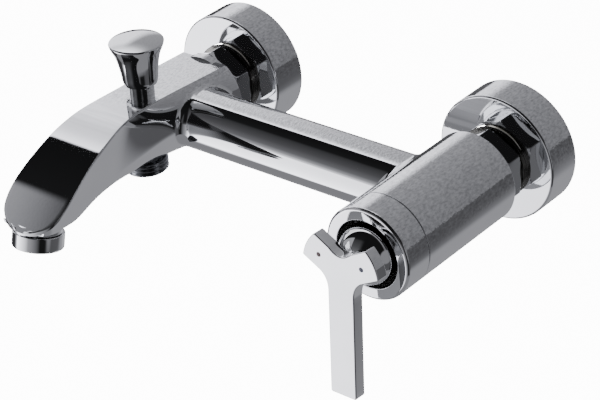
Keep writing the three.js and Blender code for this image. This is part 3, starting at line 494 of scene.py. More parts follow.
HOT = finish("hot_dot", (0.060, 0.016, 0.014), (0.045, 0.012, 0.012), 0.0, 0.25, 0.4, 700, 2500, 0.000004)
COLD = finish("cold_dot", (0.014, 0.020, 0.060), (0.012, 0.016, 0.046), 0.0, 0.25, 0.4, 700, 2500, 0.000004)

SLOT_FINISH = {
    "chrome_body": CHROME,
    "chrome_trim": CHROME_TRIM,
    "brass": BRASS,
    "steel": STEEL,
    "seal_rubber": RUBBER,
    "ceramic": CERAMIC,
    "cartridge_plastic": PLASTIC,
    "aerator_plastic": INSERT,
    "hot_red": HOT,
    "cold_blue": COLD,
}


def dress_cad_nodes():
    """Give every carried-over CAD mesh the finish of its own material slot."""
    for part in frame["record"]["subparts"]:
        finish_of = SLOT_FINISH[part["material_slot"]]
        mesh = NODES[part["node"]].data
        mesh.materials.clear()
        mesh.materials.append(finish_of)


# ---------------------------------------------------------------- the cast body
# (y, half width of the flat top, its z, half width at the middle, its z, z of the underside)
SPOUT = [
    (-33.3, 13.0, 16.4, 20.93, 0.0, -20.93),
    (-41.0, 12.9, 16.7, 20.1, 0.3, -19.9),
    (-50.0, 12.7, 17.1, 18.7, 1.0, -18.4),
    (-65.0, 12.2, 17.7, 17.0, 2.0, -16.0),
    (-80.0, 11.9, 18.1, 15.9, 3.0, -14.6),
    (-95.0, 12.4, 18.1, 15.0, 3.0, -14.0),
    (-104.0, 13.4, 17.1, 14.6, 3.0, -14.0),
    (-112.0, 14.4, 15.1, 14.5, 1.0, -14.4),
    (-120.0, 15.2, 12.2, 14.3, -2.0, -15.4),
    (-128.0, 15.9, 8.4, 13.9, -5.0, -18.0),
    (-136.0, 16.7, 3.8, 13.3, -9.0, -19.8),
    (-143.0, 17.0, -1.0, 13.0, -12.0, -18.4),
    (-148.0, 16.4, -4.85, 12.6, -13.5, -17.6),
    (-152.0, 14.6, -7.97, 11.2, -14.0, -16.6),
    (-155.0, 11.0, -10.33, 9.0, -14.0, -15.8),
    (-157.0, 6.6, -11.9, 5.6, -14.0, -15.2),
    (-158.0, 2.8, -12.7, 2.5, -13.8, -14.8),
    (-158.2, 0.05, -12.86, 0.05, -13.8, -14.7),
]
LIP_HEIGHT = 0.9
LIP_ROUND = 0.4
LIP_STARTS = 68.0  # distances in front of the wall
LIP_FULL = 122.0
REAR_EDGE = 0.5
LOWER_RIGHT = (0.656, -0.755)  # a direction in a section, as (x, z)
TIP_RUN = 34.0  # the last of the run, read at shorter steps
ARC_HANDLE = 0.5523  # of a curve that stands for a quarter circle


def spline(knots, values, places):
    """A natural cubic spline through values at knots, read at places."""
    knots = np.asarray(knots, float)
    values = np.asarray(values, float)
    gap = np.diff(knots)
    slope = np.diff(values, axis=0) / gap[:, None]
    count = len(knots)
    system = np.eye(count)
    right = np.zeros_like(values)
    for i in range(1, count - 1):
        system[i, i - 1] = gap[i - 1]
        system[i, i] = 2 * (gap[i - 1] + gap[i])
        system[i, i + 1] = gap[i]
        right[i] = 3 * (slope[i] - slope[i - 1])
    bend = np.linalg.solve(system, right)
    out = []
    for place in places:
        i = int(np.clip(np.searchsorted(knots, place) - 1, 0, count - 2))
        t = place - knots[i]
        first = slope[i] - gap[i] * (2 * bend[i] + bend[i + 1]) / 3
        third = (bend[i + 1] - bend[i]) / (3 * gap[i])
        out.append(values[i] + first * t + bend[i] * t * t + third * t**3)
    return np.array(out)


def bent(start, pull, end, t):
    """The point at t on a curve from start to end that leans towards pull."""
    return start * (1 - t) ** 2 + pull * 2 * t * (1 - t) + end * t * t


def ease(value, start, end):
    """0 up to start, 1 from end on, and a smooth rise between."""
    t = min(max((value - start) / (end - start), 0.0), 1.0)
    return t * t * (3 - 2 * t)


def reach_down(points):
    """How far a half section reaches towards the lower right."""
    return max(LOWER_RIGHT[0] * p[0] + LOWER_RIGHT[1] * p[1] for p in points)


def keel_points(start, below, low_z):
    """The front half's flank: in from the lip to a rounded keel that reaches as far as the points below."""
    wanted = reach_down(below)
    corner = Vector((0.70 * start.x, low_z + 3.0))
    for _ in range(4):
        outline = [start]
        bend = 5.0
        for k in range(1, 25):
            outline.append(start.lerp(corner, k / 24 * (1 - bend / (corner - start).length)))
        first, last = outline[-1], Vector((0, low_z))
        for k in range(1, 24):
            outline.append(bent(first, corner, last, k / 23))
        corner.y -= (reach_down(outline) - wanted) / LOWER_RIGHT[1]
    return outline


def spout_section(station, inset=0.0):
    """Half of a cross-section, from the middle of the flat top round to the middle of the underside."""
    y, top, top_z, middle, middle_z, low_z = station
    front = ease(-y, LIP_STARTS, LIP_FULL)
    small = min(1.0, top / 6.0)
    lip = LIP_HEIGHT * front * small
    radius = (0.15 + (LIP_ROUND - 0.15) * front) * small
    top = max(top - inset, 0.01)
    middle = max(middle - inset, 0.01)
    top_z -= inset
    low_z += inset
    points = [(top * k / 8 * (1 - radius / top), top_z) for k in range(8)]
    for k in range(6):
        angle = math.pi / 2 * k / 5
        points.append((top - radius + radius * math.sin(angle), top_z - radius + radius * math.cos(angle)))
    start = Vector((top, top_z - radius - lip))
    if lip > 0.05:
        points.append((start.x, start.y))
    end = Vector((middle, middle_z))
    width = end.x - start.x
    fall = start.y - end.y
    lean = 0.33 * (1 - front)
    first = start + Vector((ARC_HANDLE * width, -lean * fall * ARC_HANDLE))
    second = end + Vector((0, ARC_HANDLE * fall * (1 - 0.25 * (1 - front))))
    for k in range(1, 25):
        t = k / 24
        a, b, c, d = (1 - t) ** 3, 3 * t * (1 - t) ** 2, 3 * t * t * (1 - t), t**3
        p = start * a + first * b + second * c + end * d
        points.append((p.x, p.y))
    for k in range(1, 25):
        angle = math.pi / 2 * k / 24
        points.append((middle * math.cos(angle), middle_z + (low_z - middle_z) * math.sin(angle)))
    keel = keel_points(start, points[-24:], low_z)
    flank = len(points) - 48
    for k in range(48):
        p, q = Vector(points[flank + k]), keel[k]
        points[flank + k] = tuple(p.lerp(q, front * small))
    return [Vector((x, y, z)) for x, z in points]


def spout_stations():
    """The table of sections, smoothed and read at short steps, shorter still towards the tip."""
    table = np.array(SPOUT)
    knots = [0.0]
    for a, b in zip(table, table[1:]):
        knots.append(knots[-1] + math.hypot(b[0] - a[0], b[1] - a[1]))
    last = knots[-1]
    places = list(np.linspace(0, last - TIP_RUN, 72)) + list(np.linspace(last - TIP_RUN, last, 64))[1:]
    return [tuple(row) for row in spline(knots, table, places)]


def spout_mesh():
    """The left body and its spout, skinned over the sections."""
    bm = bmesh.new()
    stations = spout_stations()
    sections = []
    for k in range(5):
        angle = math.pi / 2 * k / 5
        first = (SPOUT[0][0] - REAR_EDGE * (1 - math.cos(angle)), *stations[0][1:])
        sections.append(spout_section(first, REAR_EDGE * (1 - math.sin(angle))))
    for station in stations[1:]:
        sections.append(spout_section(station))
    longest = max(len(s) for s in sections)
    rings = []
    for section in sections:
        while len(section) < longest:
            section.insert(14, section[13].copy())
        right = [bm.verts.new((p.x - INLET_X, p.y, p.z)) for p in section]
        left = [bm.verts.new((-p.x - INLET_X, p.y, p.z)) for p in section[1:-1]]
        rings.append(right + left[::-1])
    for one, two in zip(rings, rings[1:]):
        for k in range(len(one)):
            after = (k + 1) % len(one)
            bm.faces.new((one[k], one[after], two[after], two[k]))
    bm.faces.new(rings[0])
    bm.faces.new(rings[-1])
    bmesh.ops.remove_doubles(bm, verts=bm.verts, dist=1e-4)
    bmesh.ops.dissolve_degenerate(bm, edges=bm.edges, dist=1e-4)
    return bm


def barrel_mesh():
    """The right body with its rear boss, open in front where the cap sits."""
    outline = rounded(
        [
            (0, -REAR_BOSS_BACK, 0),
            (REAR_BOSS_R, -REAR_BOSS_BACK, REAR_BOSS_ROUND),
            (REAR_BOSS_R, -BODY_BACK, 0),
            (BODY_R, -BODY_BACK, BODY_REAR_ROUND),
            (BODY_R, -BODY_FRONT, BODY_FRONT_ROUND),
            (CARTRIDGE_BORE_R, -BODY_FRONT, 0),
            (CARTRIDGE_BORE_R, -BODY_FRONT - RECESS_DEPTH, 0),
            (0, -BODY_FRONT - RECESS_DEPTH, 0),
        ]
    )
    bm = bmesh.new()
    add_revolved(bm, outline, along_y(INLET_X), 2 * ROUND)
    return bm


def add_fillet(bm, side, surface):
    """The hollow fillet between the bar and a body: a ball rolled round the bar, against the surface."""
    steps = 144
    radius = BAR_FILLET
    centres, contacts = [], []
    for k in range(steps):
        angle = math.tau * k / steps
        out = Vector((0, -math.sin(angle), math.cos(angle)))
        spoke = Vector((0, BAR_Y, 0)) + out * (BAR_R + radius)
        low, high = 30.0, 66.0
        for _ in range(34):
            x = (low + high) / 2
            _, _, _, distance = surface.find_nearest(spoke + Vector((side * x, 0, 0)))
            low, high = (x, high) if distance > radius else (low, x)
        centre = spoke + Vector((side * low, 0, 0))
        touch, _, _, _ = surface.find_nearest(centre)
        centres.append((centre, out))
        contacts.append((touch - centre).normalized())
    smooth = []
    for k in range(steps):
        total = Vector((0, 0, 0))
        for shift in range(-3, 4):
            total += contacts[(k + shift) % steps] * (4 - abs(shift))
        smooth.append(total.normalized())
    rings = []
    for (centre, out), touch in zip(centres, smooth):
        start = -out
        arc = start.angle(touch)
        row = []
        for k in range(13):
            t = k / 12
            arm = (start * math.sin((1 - t) * arc) + touch * math.sin(t * arc)) / math.sin(arc)
            row.append(bm.verts.new(centre + arm * radius))
        rings.append(row)
    for one, two in zip(rings, rings[1:] + rings[:1]):
        for k in range(12):
            bm.faces.new((one[k], one[k + 1], two[k + 1], two[k]))


def mixer_body():
    """The casting: left body with its spout, right body, the bar between them and its fillets."""
    bm = spout_mesh()
    left = BVHTree.FromBMesh(bm)
    barrel = barrel_mesh()
    right = BVHTree.FromBMesh(barrel)
    spare = bpy.data.meshes.new("barrel")
    barrel.to_mesh(spare)
    barrel.free()
    bm.from_mesh(spare)
    bpy.data.meshes.remove(spare)
    boss = rounded(
        [
            (0, -REAR_BOSS_BACK, 0),
            (REAR_BOSS_R, -REAR_BOSS_BACK, REAR_BOSS_ROUND),
            (REAR_BOSS_R, BOSS_END, 0),
            (0, BOSS_END, 0),
        ]
    )
    add_revolved(bm, boss, along_y(-INLET_X), ROUND)
    bar = [(0, -BAR_HALF), (BAR_R, -BAR_HALF), (BAR_R, BAR_HALF), (0, BAR_HALF)]
    lay = Matrix.Translation((0, BAR_Y, 0)) @ Matrix.Rotation(math.radians(90), 4, "Y")
    add_revolved(bm, bar, lay, 2 * ROUND)
    root = rounded(
        [
            (0, SPOUT_BOSS_LOW, 0),
            (SPOUT_BOSS_R, SPOUT_BOSS_LOW, SPOUT_BOSS_ROUND),
            (SPOUT_BOSS_R, SPOUT_BOSS_HIGH, 0),
            (0, SPOUT_BOSS_HIGH, 0),
        ]
    )
    add_revolved(bm, root, aerator_place(), ROUND)
    add_fillet(bm, -1, left)
    add_fillet(bm, 1, right)
    to_object("mixer_casting", bm, "base", CHROME, ["mixer_body"])


# ---------------------------------------------------------------- wall side fittings
def escutcheon(side):
    """A shallow round cover with a soft front edge, open to the wall."""
    name = "left" if side < 0 else "right"
    inner = ESCUTCHEON_R - ESCUTCHEON_WALL
    front = ESCUTCHEON_DEPTH
    floor = front - ESCUTCHEON_WALL
    outline = rounded(
        [
            (ESCUTCHEON_R, 0, 0.3),
            (ESCUTCHEON_R, front, 1.1),
            (ESCUTCHEON_HOLE_R, front, 0.3),
            (ESCUTCHEON_HOLE_R, floor, 0),
            (inner, floor, 0.6),
            (inner, 0, 0),
        ]
    )
    place = along_y(side * INLET_X, ESCUTCHEON_RISE)
    node = f"{name}_escutcheon"
    revolved(f"{name}_wall_escutcheon", outline, place, "base", CHROME, [node], 2 * ROUND)


def ridged(start, end, root, crest, pitch):
    """A run of rounded ridges between two heights, as (radius, height)."""
    points = []
    count = max(1, round((end - start) / pitch))
    for k in range(count * 8 + 1):
        t = k / 8
        wave = 0.5 - 0.5 * math.cos(math.tau * t)
        points.append((root + (crest - root) * wave**0.7, start + (end - start) * k / (count * 8)))
    return points


def union(side):
    """The eccentric union: collar with fine ridges, and the wall thread behind, set lower."""
    name = "left" if side < 0 else "right"
    node = f"{name}_eccentric_union"
    bm = bmesh.new()
    x = side * INLET_X
    collar = [(UNION_BORE_R, COLLAR_BACK), (COLLAR_R - 0.5, COLLAR_BACK)]
    collar += ridged(*COLLAR_RIDGES, COLLAR_R - 0.3, COLLAR_R, COLLAR_PITCH)
    collar += [(UNION_THREAD_R, COLLAR_FRONT), (UNION_THREAD_R, UNION_FRONT), (UNION_BORE_R, UNION_FRONT)]
    add_revolved(bm, collar, along_y(x), ROUND)
    back, front = UNION_SHELL[0][1], UNION_SHELL[-1][1]
    shell = [(UNION_BORE_R, back), *UNION_SHELL, (UNION_BORE_R, front)]
    add_revolved(bm, shell, along_y(x), ROUND)
    root = WALL_THREAD_R - WALL_THREAD_DEPTH
    thread = [(UNION_BORE_R, -WALL_THREAD_END)]
    thread += ridged(-WALL_THREAD_END, WALL_THREAD_FRONT, root, WALL_THREAD_R, WALL_THREAD_PITCH)
    thread += [(UNION_BORE_R, WALL_THREAD_FRONT)]
    add_revolved(bm, thread, along_y(x + mount_shift(side), -WALL_THREAD_DROP), ROUND)
    piece = to_object(f"{name}_union_fitting", bm, "base", BRASS, [node], 50)
    shaded_from = -UNION_SHADED_FROM * MM
    # painted shade: the fitting's front, in the narrow gap between the cover and the nut, gets the dark
    # metal
    paint(piece, PAINTED_SHADE_METAL, lambda centre: centre.y < shaded_from)


def mount_shift(side):
    """How far the wall thread sits sideways of the inlet, read from the union's own CAD mesh."""
    name = "left" if side < 0 else "right"
    mesh = NODES[f"{name}_eccentric_union"].data
    rear = [v.co.x for v in mesh.vertices if v.co.y > (WALL_THREAD_END - 0.5) * MM]
    return (min(rear) + max(rear)) / 2 / MM - side * INLET_X


def hex_outline(flats, radius):
    """A hexagon with rounded corners, cut into short steps."""
    corner = flats / math.sqrt(3)
    points = []
    for k in range(6):
        angle = math.radians(60 * k + 30)
        points.append((corner * math.cos(angle), corner * math.sin(angle), radius))
    outline = rounded(points, 5)
    fine = []
    for one, two in zip(outline, outline[1:] + outline[:1]):
        pieces = max(1, round((two - one).length / 1.2))
        for k in range(pieces):
            fine.append(one.lerp(two, k / pieces))
    return fine


def union_nut(side):
    """A hexagon nut with the round chamfer that leaves arcs on its flats."""
    name = "left" if side < 0 else "right"
    outline = hex_outline(NUT_FLATS, NUT_CORNER_ROUND)
    low, high = -NUT_BACK, -NUT_FRONT
    levels = [low + depth for depth in NUT_CHAMFER_LEVELS]
    levels.append((low + high) / 2)
    levels += [high - depth for depth in NUT_CHAMFER_LEVELS[::-1]]
    place = along_y(side * INLET_X)
    bm = bmesh.new()
    rings = []
    for height in levels:
        cone = NUT_FLATS / 2 - 0.15 + NUT_CHAMFER_SLOPE * min(height - low, high - height)
        ring = []
        for p in outline:
            reach = min(p.length, cone)
            q = p.normalized() * reach
            ring.append(bm.verts.new(place @ Vector((q.x, q.y, height))))
        rings.append(ring)
    inner = []
    for height in (high, low):
        ring = []
        for p in outline:
            q = p.normalized() * (TAIL_R + 0.3 if height == high else UNION_THREAD_R + 0.2)
            ring.append(bm.verts.new(place @ Vector((q.x, q.y, height))))
        inner.append(ring)
    rings += inner
    for one, two in zip(rings, rings[1:] + rings[:1]):
        for k in range(len(one)):
            after = (k + 1) % len(one)
            bm.faces.new((one[k], one[after], two[after], two[k]))
    node = f"{name}_union_nut"
    to_object(f"{name}_hexagon_nut", bm, "base", CHROME_TRIM, [node], 24)


# ---------------------------------------------------------------- handle side
def cartridge_cap():
    """The ring at the front of the right body, with painted shade on the wall inside its hole."""
    outline = rounded(
        [
            (BODY_R, -CAP_BACK, BODY_FRONT_ROUND),
            (BODY_R, -CAP_FRONT, CAP_ROUND),
            (CAP_HOLE_R, -CAP_FRONT, 0.35),
            (CAP_HOLE_R, -CAP_BACK + 1.5, 0),
            (BODY_R - 2.5, -CAP_BACK, 0),
        ],
        8,
    )
    place = along_y(INLET_X)
    ring = revolved("cap_ring", outline, place, "base", CHROME, ["cartridge_cap"], 2 * ROUND)
    hole = (CAP_HOLE_R + 0.1) * MM
    behind = (CAP_FRONT + CAP_HOLE_SHADED_FROM) * MM
    # painted shade: the hole's wall behind its front edge gets the dark metal
    paint(ring, PAINTED_SHADE_METAL, lambda c: math.hypot(c.x - INLET_X * MM, c.z) < hole and c.y > behind)


def handle_dome():
    """The round shell behind the lever plate, flattened where the plate meets it."""
    points = []
    for k in range(41):
        height = -DOME_BACK + (-DOME_FRONT + DOME_BACK) * k / 40
        radius = math.sqrt(max(DOME_R**2 - (height + DOME_Y) ** 2, 0))
        points.append((radius, height))
    arc = [p for p in points if p[0] > DOME_FLAT_R]
    front = -DOME_FRONT
    outline = [(DOME_R - DOME_WALL, -DOME_BACK)] + arc
    outline += [(0, min(front, arc[-1][1] + 0.3)), (0, front - 2.5), (DOME_R - 4, front - 9)]
    place = along_y(INLET_X)
    revolved("dome_shell", outline, place, "lever", CHROME_TRIM, ["handle_dome"], 2 * ROUND)


def lever_corners():
    """Half of the plate's outline from the foot of its leg up to the valley, and its mirror image."""
    half = [(LEG_HALF, LEG_END, LEG_CORNER)]
    start, pull = Vector((LEG_HALF, ARMPIT_FOOT)), Vector((LEG_HALF, ARMPIT_PULL))
    for k in range(9):
        half.append((*bent(start, pull, Vector(ARMPIT), k / 8), 0))
    for k in range(9):
        angle = math.radians(ARM_FOOT + (ARM_TOP - ARM_FOOT) * k / 8)
        edge = ARM_CORNER if k in (0, 8) else 0
        half.append((ARM_R * math.cos(angle), ARM_R * math.sin(angle), edge))
    rim, low = Vector(VALLEY), Vector((0, VALLEY_PULL))
    half.append((*rim, VALLEY_CORNER))
    for k in range(1, 6):
        half.append((*bent(rim, low, Vector((-rim.x, rim.y)), k / 10), 0))
    return half + [(-x, z, r) for x, z, r in half[::-1][1:]]


def lever_plate():
    """The Y-shaped plate: two short arms over a long leg, with rounded edges."""
    lean = Matrix.Rotation(-math.radians(PLATE_LEAN), 4, "X")
    upright = Matrix.Rotation(math.radians(90), 4, "X")
    place = Matrix.Translation((INLET_X, PLATE_FRONT, 0)) @ lean @ upright
    outline = rounded(lever_corners(), 4)
    fine = []
    for one, two in zip(outline, outline[1:] + outline[:1]):
        pieces = max(1, round((two - one).length / 3))
        for k in range(pieces):
            fine.append(one.lerp(two, k / pieces))
    bm = bmesh.new()
    add_prism(bm, fine, -PLATE_THICKNESS, 0, PLATE_EDGE, place)
    middle = -PLATE_THICKNESS / 2
    pad = [(0, PAD_BACK), (PAD_R, PAD_BACK), (PAD_R, middle), (0, middle)]
    add_revolved(bm, pad, place, 64)
    to_object("y_lever_plate", bm, "lever", CHROME_TRIM, ["lever_plate"])
    for side, name, material in ((-1, "hot", HOT), (1, "cold", COLD)):
        dot = rounded([(0, -DOT_DEPTH, 0), (DOT_R, -DOT_DEPTH, 0), (DOT_R, 0.02, 0.12), (0, 0.06, 0)], 4)
        turned = place @ Matrix.Translation((side * DOT_X, DOT_Z, 0))
        revolved(f"{name}_dot", dot, turned, "lever", material, [f"{name}_indicator"], 40)


# ---------------------------------------------------------------- diverter, outlet, aerator
def diverter():
    """The flared pull knob with its domed crown, and the neck that it slides on."""
    place = Matrix.Translation((-INLET_X, DIVERTER_Y, 0))
    knots = [0.0]
    for a, b in zip(KNOB_SKIRT, KNOB_SKIRT[1:]):
        knots.append(knots[-1] + math.hypot(b[0] - a[0], b[1] - a[1]))
    skirt = spline(knots, KNOB_SKIRT, np.linspace(0, knots[-1], 32))
    rim_r, rim_z = KNOB_RIM[-1]
    crown = []
    for k in range(1, 33):
        reach = rim_r * (1 - k / 32)
        crown.append((reach, rim_z + KNOB_CROWN_RISE * (1 - (reach / rim_r) ** 2.1)))
    outline = [(KNOB_BORE_R, KNOB_SKIRT[0][1]), *skirt, *KNOB_RIM, *crown]
    outline += [(0, KNOB_HOLLOW_TOP), (KNOB_BORE_R, KNOB_BORE_TOP)]
    revolved("pull_knob", outline, place, "diverter", CHROME_TRIM, ["diverter_knob"], ROUND)
    neck = rounded([(0, NECK_LOW, 0), (BONNET_R, NECK_LOW, 0), (BONNET_R, NECK_TOP, 0.4), (0, NECK_TOP, 0)])
    revolved("diverter_neck", neck, place, "base", CHROME_TRIM, ["diverter_bonnet"], ROUND)


def outlet():
    """The threaded stub for the shower hose."""
    place = Matrix.Translation((-INLET_X, OUTLET_Y, 0))
    outline = [(OUTLET_BORE_R, OUTLET_END), (OUTLET_R - 1.2, OUTLET_END)]
    outline += ridged(OUTLET_END + 0.2, OUTLET_TOP, OUTLET_R - 0.8, OUTLET_R, OUTLET_PITCH)
    outline += [(OUTLET_SHANK_R, OUTLET_TOP), (OUTLET_SHANK_R, OUTLET_SHANK_TOP)]
    outline += [(OUTLET_BORE_R, OUTLET_SHANK_TOP)]
    revolved("outlet_thread", outline, place, "base", DARK_METAL, ["shower_outlet_nipple"], ROUND, 50)


def aerator_place():
    """Local z runs from the mouth's centre up into the spout."""
    tilt = Matrix.Rotation(-math.radians(AERATOR_TILT), 4, "X")
    return Matrix.Translation((-INLET_X, AERATOR_Y, AERATOR_Z)) @ tilt


def aerator():
    """The round housing at the spout's mouth and the insert inside it."""
    place = aerator_place()
    outline = rounded(
        [
            (AERATOR_R - 0.1, 0.0, 0.7),
            (AERATOR_R, 1.2, 0),
            (AERATOR_R, AERATOR_HEIGHT, 0.35),
            (AERATOR_INNER_R, AERATOR_HEIGHT, 0),
            (AERATOR_INNER_R, 1.0, 0),
            (AERATOR_LIP_R, 0.0, 0.4),
        ]
    )
    revolved("aerator_ring", outline, place, "base", CHROME_TRIM, ["aerator_housing"], ROUND)
    aerator_grid(place)


def hoop(inner, outer, low, high):
    """The outline of a flat-sided ring."""
    return [(inner, low), (outer, low), (outer, high), (inner, high)]


def aerator_grid(place):
    """The insert that shows in the mouth: a rim, thin hoops and spokes in front of a plate."""
    bm = bmesh.new()
    add_revolved(bm, hoop(*GRID_RIM, *GRID_RIM_HEIGHTS), place, 96)
    for radius in GRID_RINGS:
        add_revolved(bm, hoop(radius, radius + GRID_RING_WALL, *GRID_RING_HEIGHTS), place, 72)
    half = GRID_STRIP / 2
    strip = [Vector((0.3, -half)), Vector((7.3, -half)), Vector((7.3, half)), Vector((0.3, half))]
    for k in range(GRID_SPOKES):
        spoke = place @ Matrix.Rotation(math.tau * k / GRID_SPOKES, 4, "Z")
        add_prism(bm, strip, *GRID_SPOKE_HEIGHTS, 0.05, spoke)
    add_revolved(bm, hoop(0, GRID_PLATE_R, *GRID_PLATE_HEIGHTS), place, 72)
    to_object("aerator_grid", bm, "base", INSERT, ["aerator_insert"])


# ---------------------------------------------------------------- studio
def mixed(tree, factor, one, two):
    """one where the factor is 0, two where it is 1."""
    part = math_node(tree, "MULTIPLY", math_node(tree, "SUBTRACT", 1.0, factor), one)
    other = math_node(tree, "MULTIPLY", factor, two)
    return math_node(tree, "ADD", part, other)


def level(display):
    """Scene brightness that comes out at a display value from 0 to 1 through the film curve."""
    stops = math.log(display / (1 - display)) / 0.6
    return min(0.18 * 2**stops, BRIGHTEST) / BRIGHTEST


def studio_world():
    """Soft studio: bright low in front and to the left, a grey sheet above the back, dark above."""
    world = bpy.data.worlds.new("studio")
    bpy.context.scene.world = world
    world.use_nodes = True
    tree = world.node_tree
    background = tree.nodes["Background"]
    coordinates = tree.nodes.new("ShaderNodeTexCoord")
    direction = coordinates.outputs["Generated"]
    split = tree.nodes.new("ShaderNodeSeparateXYZ")
    tree.links.new(direction, split.inputs[0])
    x, y, z = split.outputs
    turn = math_node(tree, "ARCTAN2", x, math_node(tree, "MULTIPLY", y, -1.0))
    around = math_node(tree, "ADD", math_node(tree, "DIVIDE", turn, math.tau), 0.5)
    # below the horizon, by azimuth: 0 and 1 behind, 0.25 left, 0.5 front, 0.75 right
    low = ramp(
        tree,
        around,
        [
            (0.0, level(0.80)),
            (0.10, level(0.60)),
            (0.135, level(0.10)),
            (0.165, level(0.88)),
            (0.19, level(0.84)),
            (0.205, level(0.24)),
            (0.30, level(0.20)),
            (0.335, level(0.72)),
            (0.35, level(0.93)),
            (0.42, level(0.88)),
            (0.50, level(0.66)),
            (0.60, level(0.42)),
            (0.635, level(0.08)),
            (0.69, level(0.08)),
            (0.72, level(0.34)),
            (0.88, level(0.38)),
            (0.93, level(0.62)),
            (0.96, level(0.66)),
            (1.0, level(0.80)),
        ],
    )
    low = mixed(tree, blend_between(tree, z, -0.70, -0.74), low, level(0.56))
    under = math_node(
        tree, "MULTIPLY", blend_between(tree, z, -0.50, -0.64), blend_between(tree, y, 0.2, 0.4)
    )
    low = mixed(tree, under, low, level(0.63))
    # the grey sheet above the back, lighter to the left
    sheet = ramp(
        tree,
        math_node(tree, "MULTIPLY_ADD", x, 0.5, 0.5),
        [
            (0.0, level(0.88)),
            (0.17, level(0.87)),
            (0.22, level(0.76)),
            (0.235, level(0.69)),
            (0.25, level(0.65)),
            (0.5, level(0.61)),
            (0.82, level(0.56)),
            (1.0, level(0.44)),
        ],
    )
    grain = noise(tree, direction, 45, 2.0, 0.5)
    sheet = math_node(tree, "MULTIPLY", sheet, spread(tree, grain, 0.88, 1.12))
    # above the horizon, by the turn about the bar: 0 in front, 0.5 overhead, 1 behind
    lift = math_node(tree, "ARCTAN2", z, math_node(tree, "MULTIPLY", y, -1.0))
    lift = math_node(tree, "DIVIDE", lift, math.pi)
    over = ramp(
        tree,
        lift,
        [
            (0.0, level(0.84)),
            (0.05, level(0.66)),
            (0.11, level(0.46)),
            (0.21, level(0.33)),
            (0.33, level(0.22)),
            (0.365, level(0.09)),
            (0.532, level(0.06)),
            (0.538, level(0.90)),
            (0.575, level(0.86)),
            (0.63, level(0.79)),
            (0.72, level(0.74)),
        ],
    )
    over = mixed(tree, blend_between(tree, lift, 0.56, 0.70), over, sheet)
    patch = math_node(
        tree,
        "MULTIPLY",
        blend_between(tree, x, -0.640, -0.675),
        blend_between(tree, lift, 0.385, 0.36),
    )
    over = mixed(tree, patch, over, level(0.66))
    dark = level(0.07)
    right = mixed(tree, blend_between(tree, lift, 0.52, 0.54), dark, sheet)
    haze = ramp(tree, z, [(0.0, 1.0), (0.06, 0.4), (0.14, 0.12), (0.24, 0.03), (0.5, 0.002)])
    right = math_node(tree, "MAXIMUM", right, math_node(tree, "MULTIPLY", low, haze))
    over = mixed(tree, blend_between(tree, x, -0.25, 0.05), over, right)
    shade = mixed(tree, blend_between(tree, z, -0.012, 0.012), low, over)
    # a soft box on the far right and a dim one at the right of the front
    side_box = math_node(
        tree, "MULTIPLY", blend_between(tree, x, 0.91, 0.95), blend_between(tree, z, -0.60, -0.40)
    )
    side_box = math_node(tree, "MULTIPLY", side_box, blend_between(tree, y, 0.25, 0.12))
    shade = mixed(tree, side_box, shade, level(0.56))
    front_box = math_node(
        tree, "MULTIPLY", blend_between(tree, x, 0.50, 0.62), blend_between(tree, y, -0.52, -0.62)
    )
    front_box = math_node(tree, "MULTIPLY", front_box, blend_between(tree, z, 0.02, 0.08))
    shade = mixed(tree, front_box, shade, level(0.28))
    tint = tree.nodes.new("ShaderNodeCombineColor")
    tree.links.new(shade, tint.inputs[0])
    tree.links.new(shade, tint.inputs[1])
    tree.links.new(math_node(tree, "MULTIPLY", shade, 1.07), tint.inputs[2])
    tree.links.new(tint.outputs[0], background.inputs["Color"])
    background.inputs["Strength"].default_value = BRIGHTEST


def pale_surface(name, bm, glow):
    """A plain pale stage surface that the camera sees and the chrome doesn't mirror."""
    mesh = bpy.data.meshes.new(name)
    bm.to_mesh(mesh)
    bm.free()
    thing = bpy.data.objects.new(name, mesh)
    bpy.context.scene.collection.objects.link(thing)
    material, tree, shader, where = node_material(f"{name}_pale")
    shade = ramp(tree, noise(tree, where, 3.0), [(0.3, 0.78), (0.7, 0.80)])
    tree.links.new(shade, shader.inputs["Base Color"])
    shader.inputs["Roughness"].default_value = 1.0
    shader.inputs["Emission Color"].default_value = (1.0, 1.0, 1.0, 1.0)
    shader.inputs["Emission Strength"].default_value = glow
    mesh.materials.append(material)
    thing.visible_glossy = False
    thing.visible_diffuse = False
    thing.visible_shadow = False


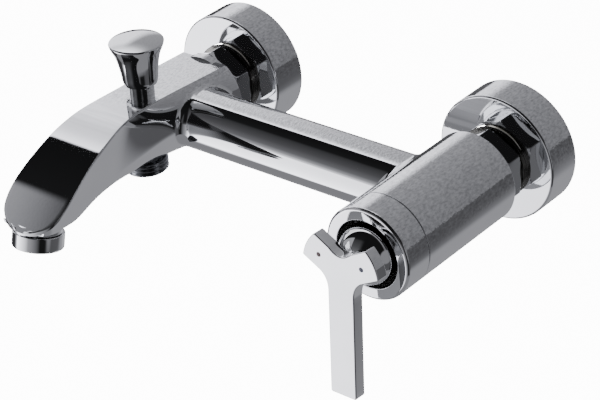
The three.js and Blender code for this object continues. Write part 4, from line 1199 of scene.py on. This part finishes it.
def studio_stage():
    """A floor under the faucet and a round backdrop, both pale and lit from within."""
    floor = bmesh.new()
    bmesh.ops.create_grid(floor, x_segments=8, y_segments=8, size=5.0)
    bmesh.ops.translate(floor, verts=floor.verts, vec=(0, 0, FLOOR_Z))
    pale_surface("floor", floor, FLOOR_GLOW)
    sweep = bmesh.new()
    bmesh.ops.create_uvsphere(sweep, u_segments=48, v_segments=24, radius=6.0)
    pale_surface("backdrop", sweep, BACKDROP_GLOW)


def area_light(name, place, aim, size, power):
    """A rectangle of light that is neither mirrored nor seen."""
    data = bpy.data.lights.new(name, "AREA")
    data.shape = "RECTANGLE"
    data.size, data.size_y = size
    data.energy = power
    lamp = bpy.data.objects.new(name, data)
    bpy.context.scene.collection.objects.link(lamp)
    lamp.location = place
    lamp.rotation_euler = (Vector(aim) - Vector(place)).to_track_quat("-Z", "Y").to_euler()
    lamp.visible_glossy = False
    lamp.visible_camera = False


def studio_camera():
    """A long lens from the upper right, at the view of the object's picture."""
    azimuth, elevation, roll = (math.radians(angle) for angle in CAMERA_ANGLES)
    level_part = math.cos(elevation)
    back = Vector((math.sin(azimuth) * level_part, -math.cos(azimuth) * level_part, math.sin(elevation)))
    right = Vector((math.cos(azimuth), math.sin(azimuth), 0))
    up = back.cross(right)
    across = right * math.cos(roll) + up * math.sin(roll)
    upward = up * math.cos(roll) - right * math.sin(roll)
    data = bpy.data.cameras.new("camera")
    data.sensor_width = CAMERA_SENSOR
    data.lens = CAMERA_LENS
    data.shift_x, data.shift_y = CAMERA_SHIFT
    camera = bpy.data.objects.new("camera", data)
    bpy.context.scene.collection.objects.link(camera)
    axes = Matrix((across, upward, back)).transposed().to_4x4()
    camera.matrix_world = Matrix.Translation(CAMERA_PLACE) @ axes
    bpy.context.scene.camera = camera


# ---------------------------------------------------------------- assembly
dress_cad_nodes()
mixer_body()
for side in (-1, 1):
    escutcheon(side)
    union(side)
    union_nut(side)
cartridge_cap()
handle_dome()
lever_plate()
diverter()
outlet()
aerator()
studio_world()
studio_stage()
area_light("soft_key", (-0.8, -1.2, 1.4), (0, -0.08, 0), (1.2, 1.2), 30)
studio_camera()
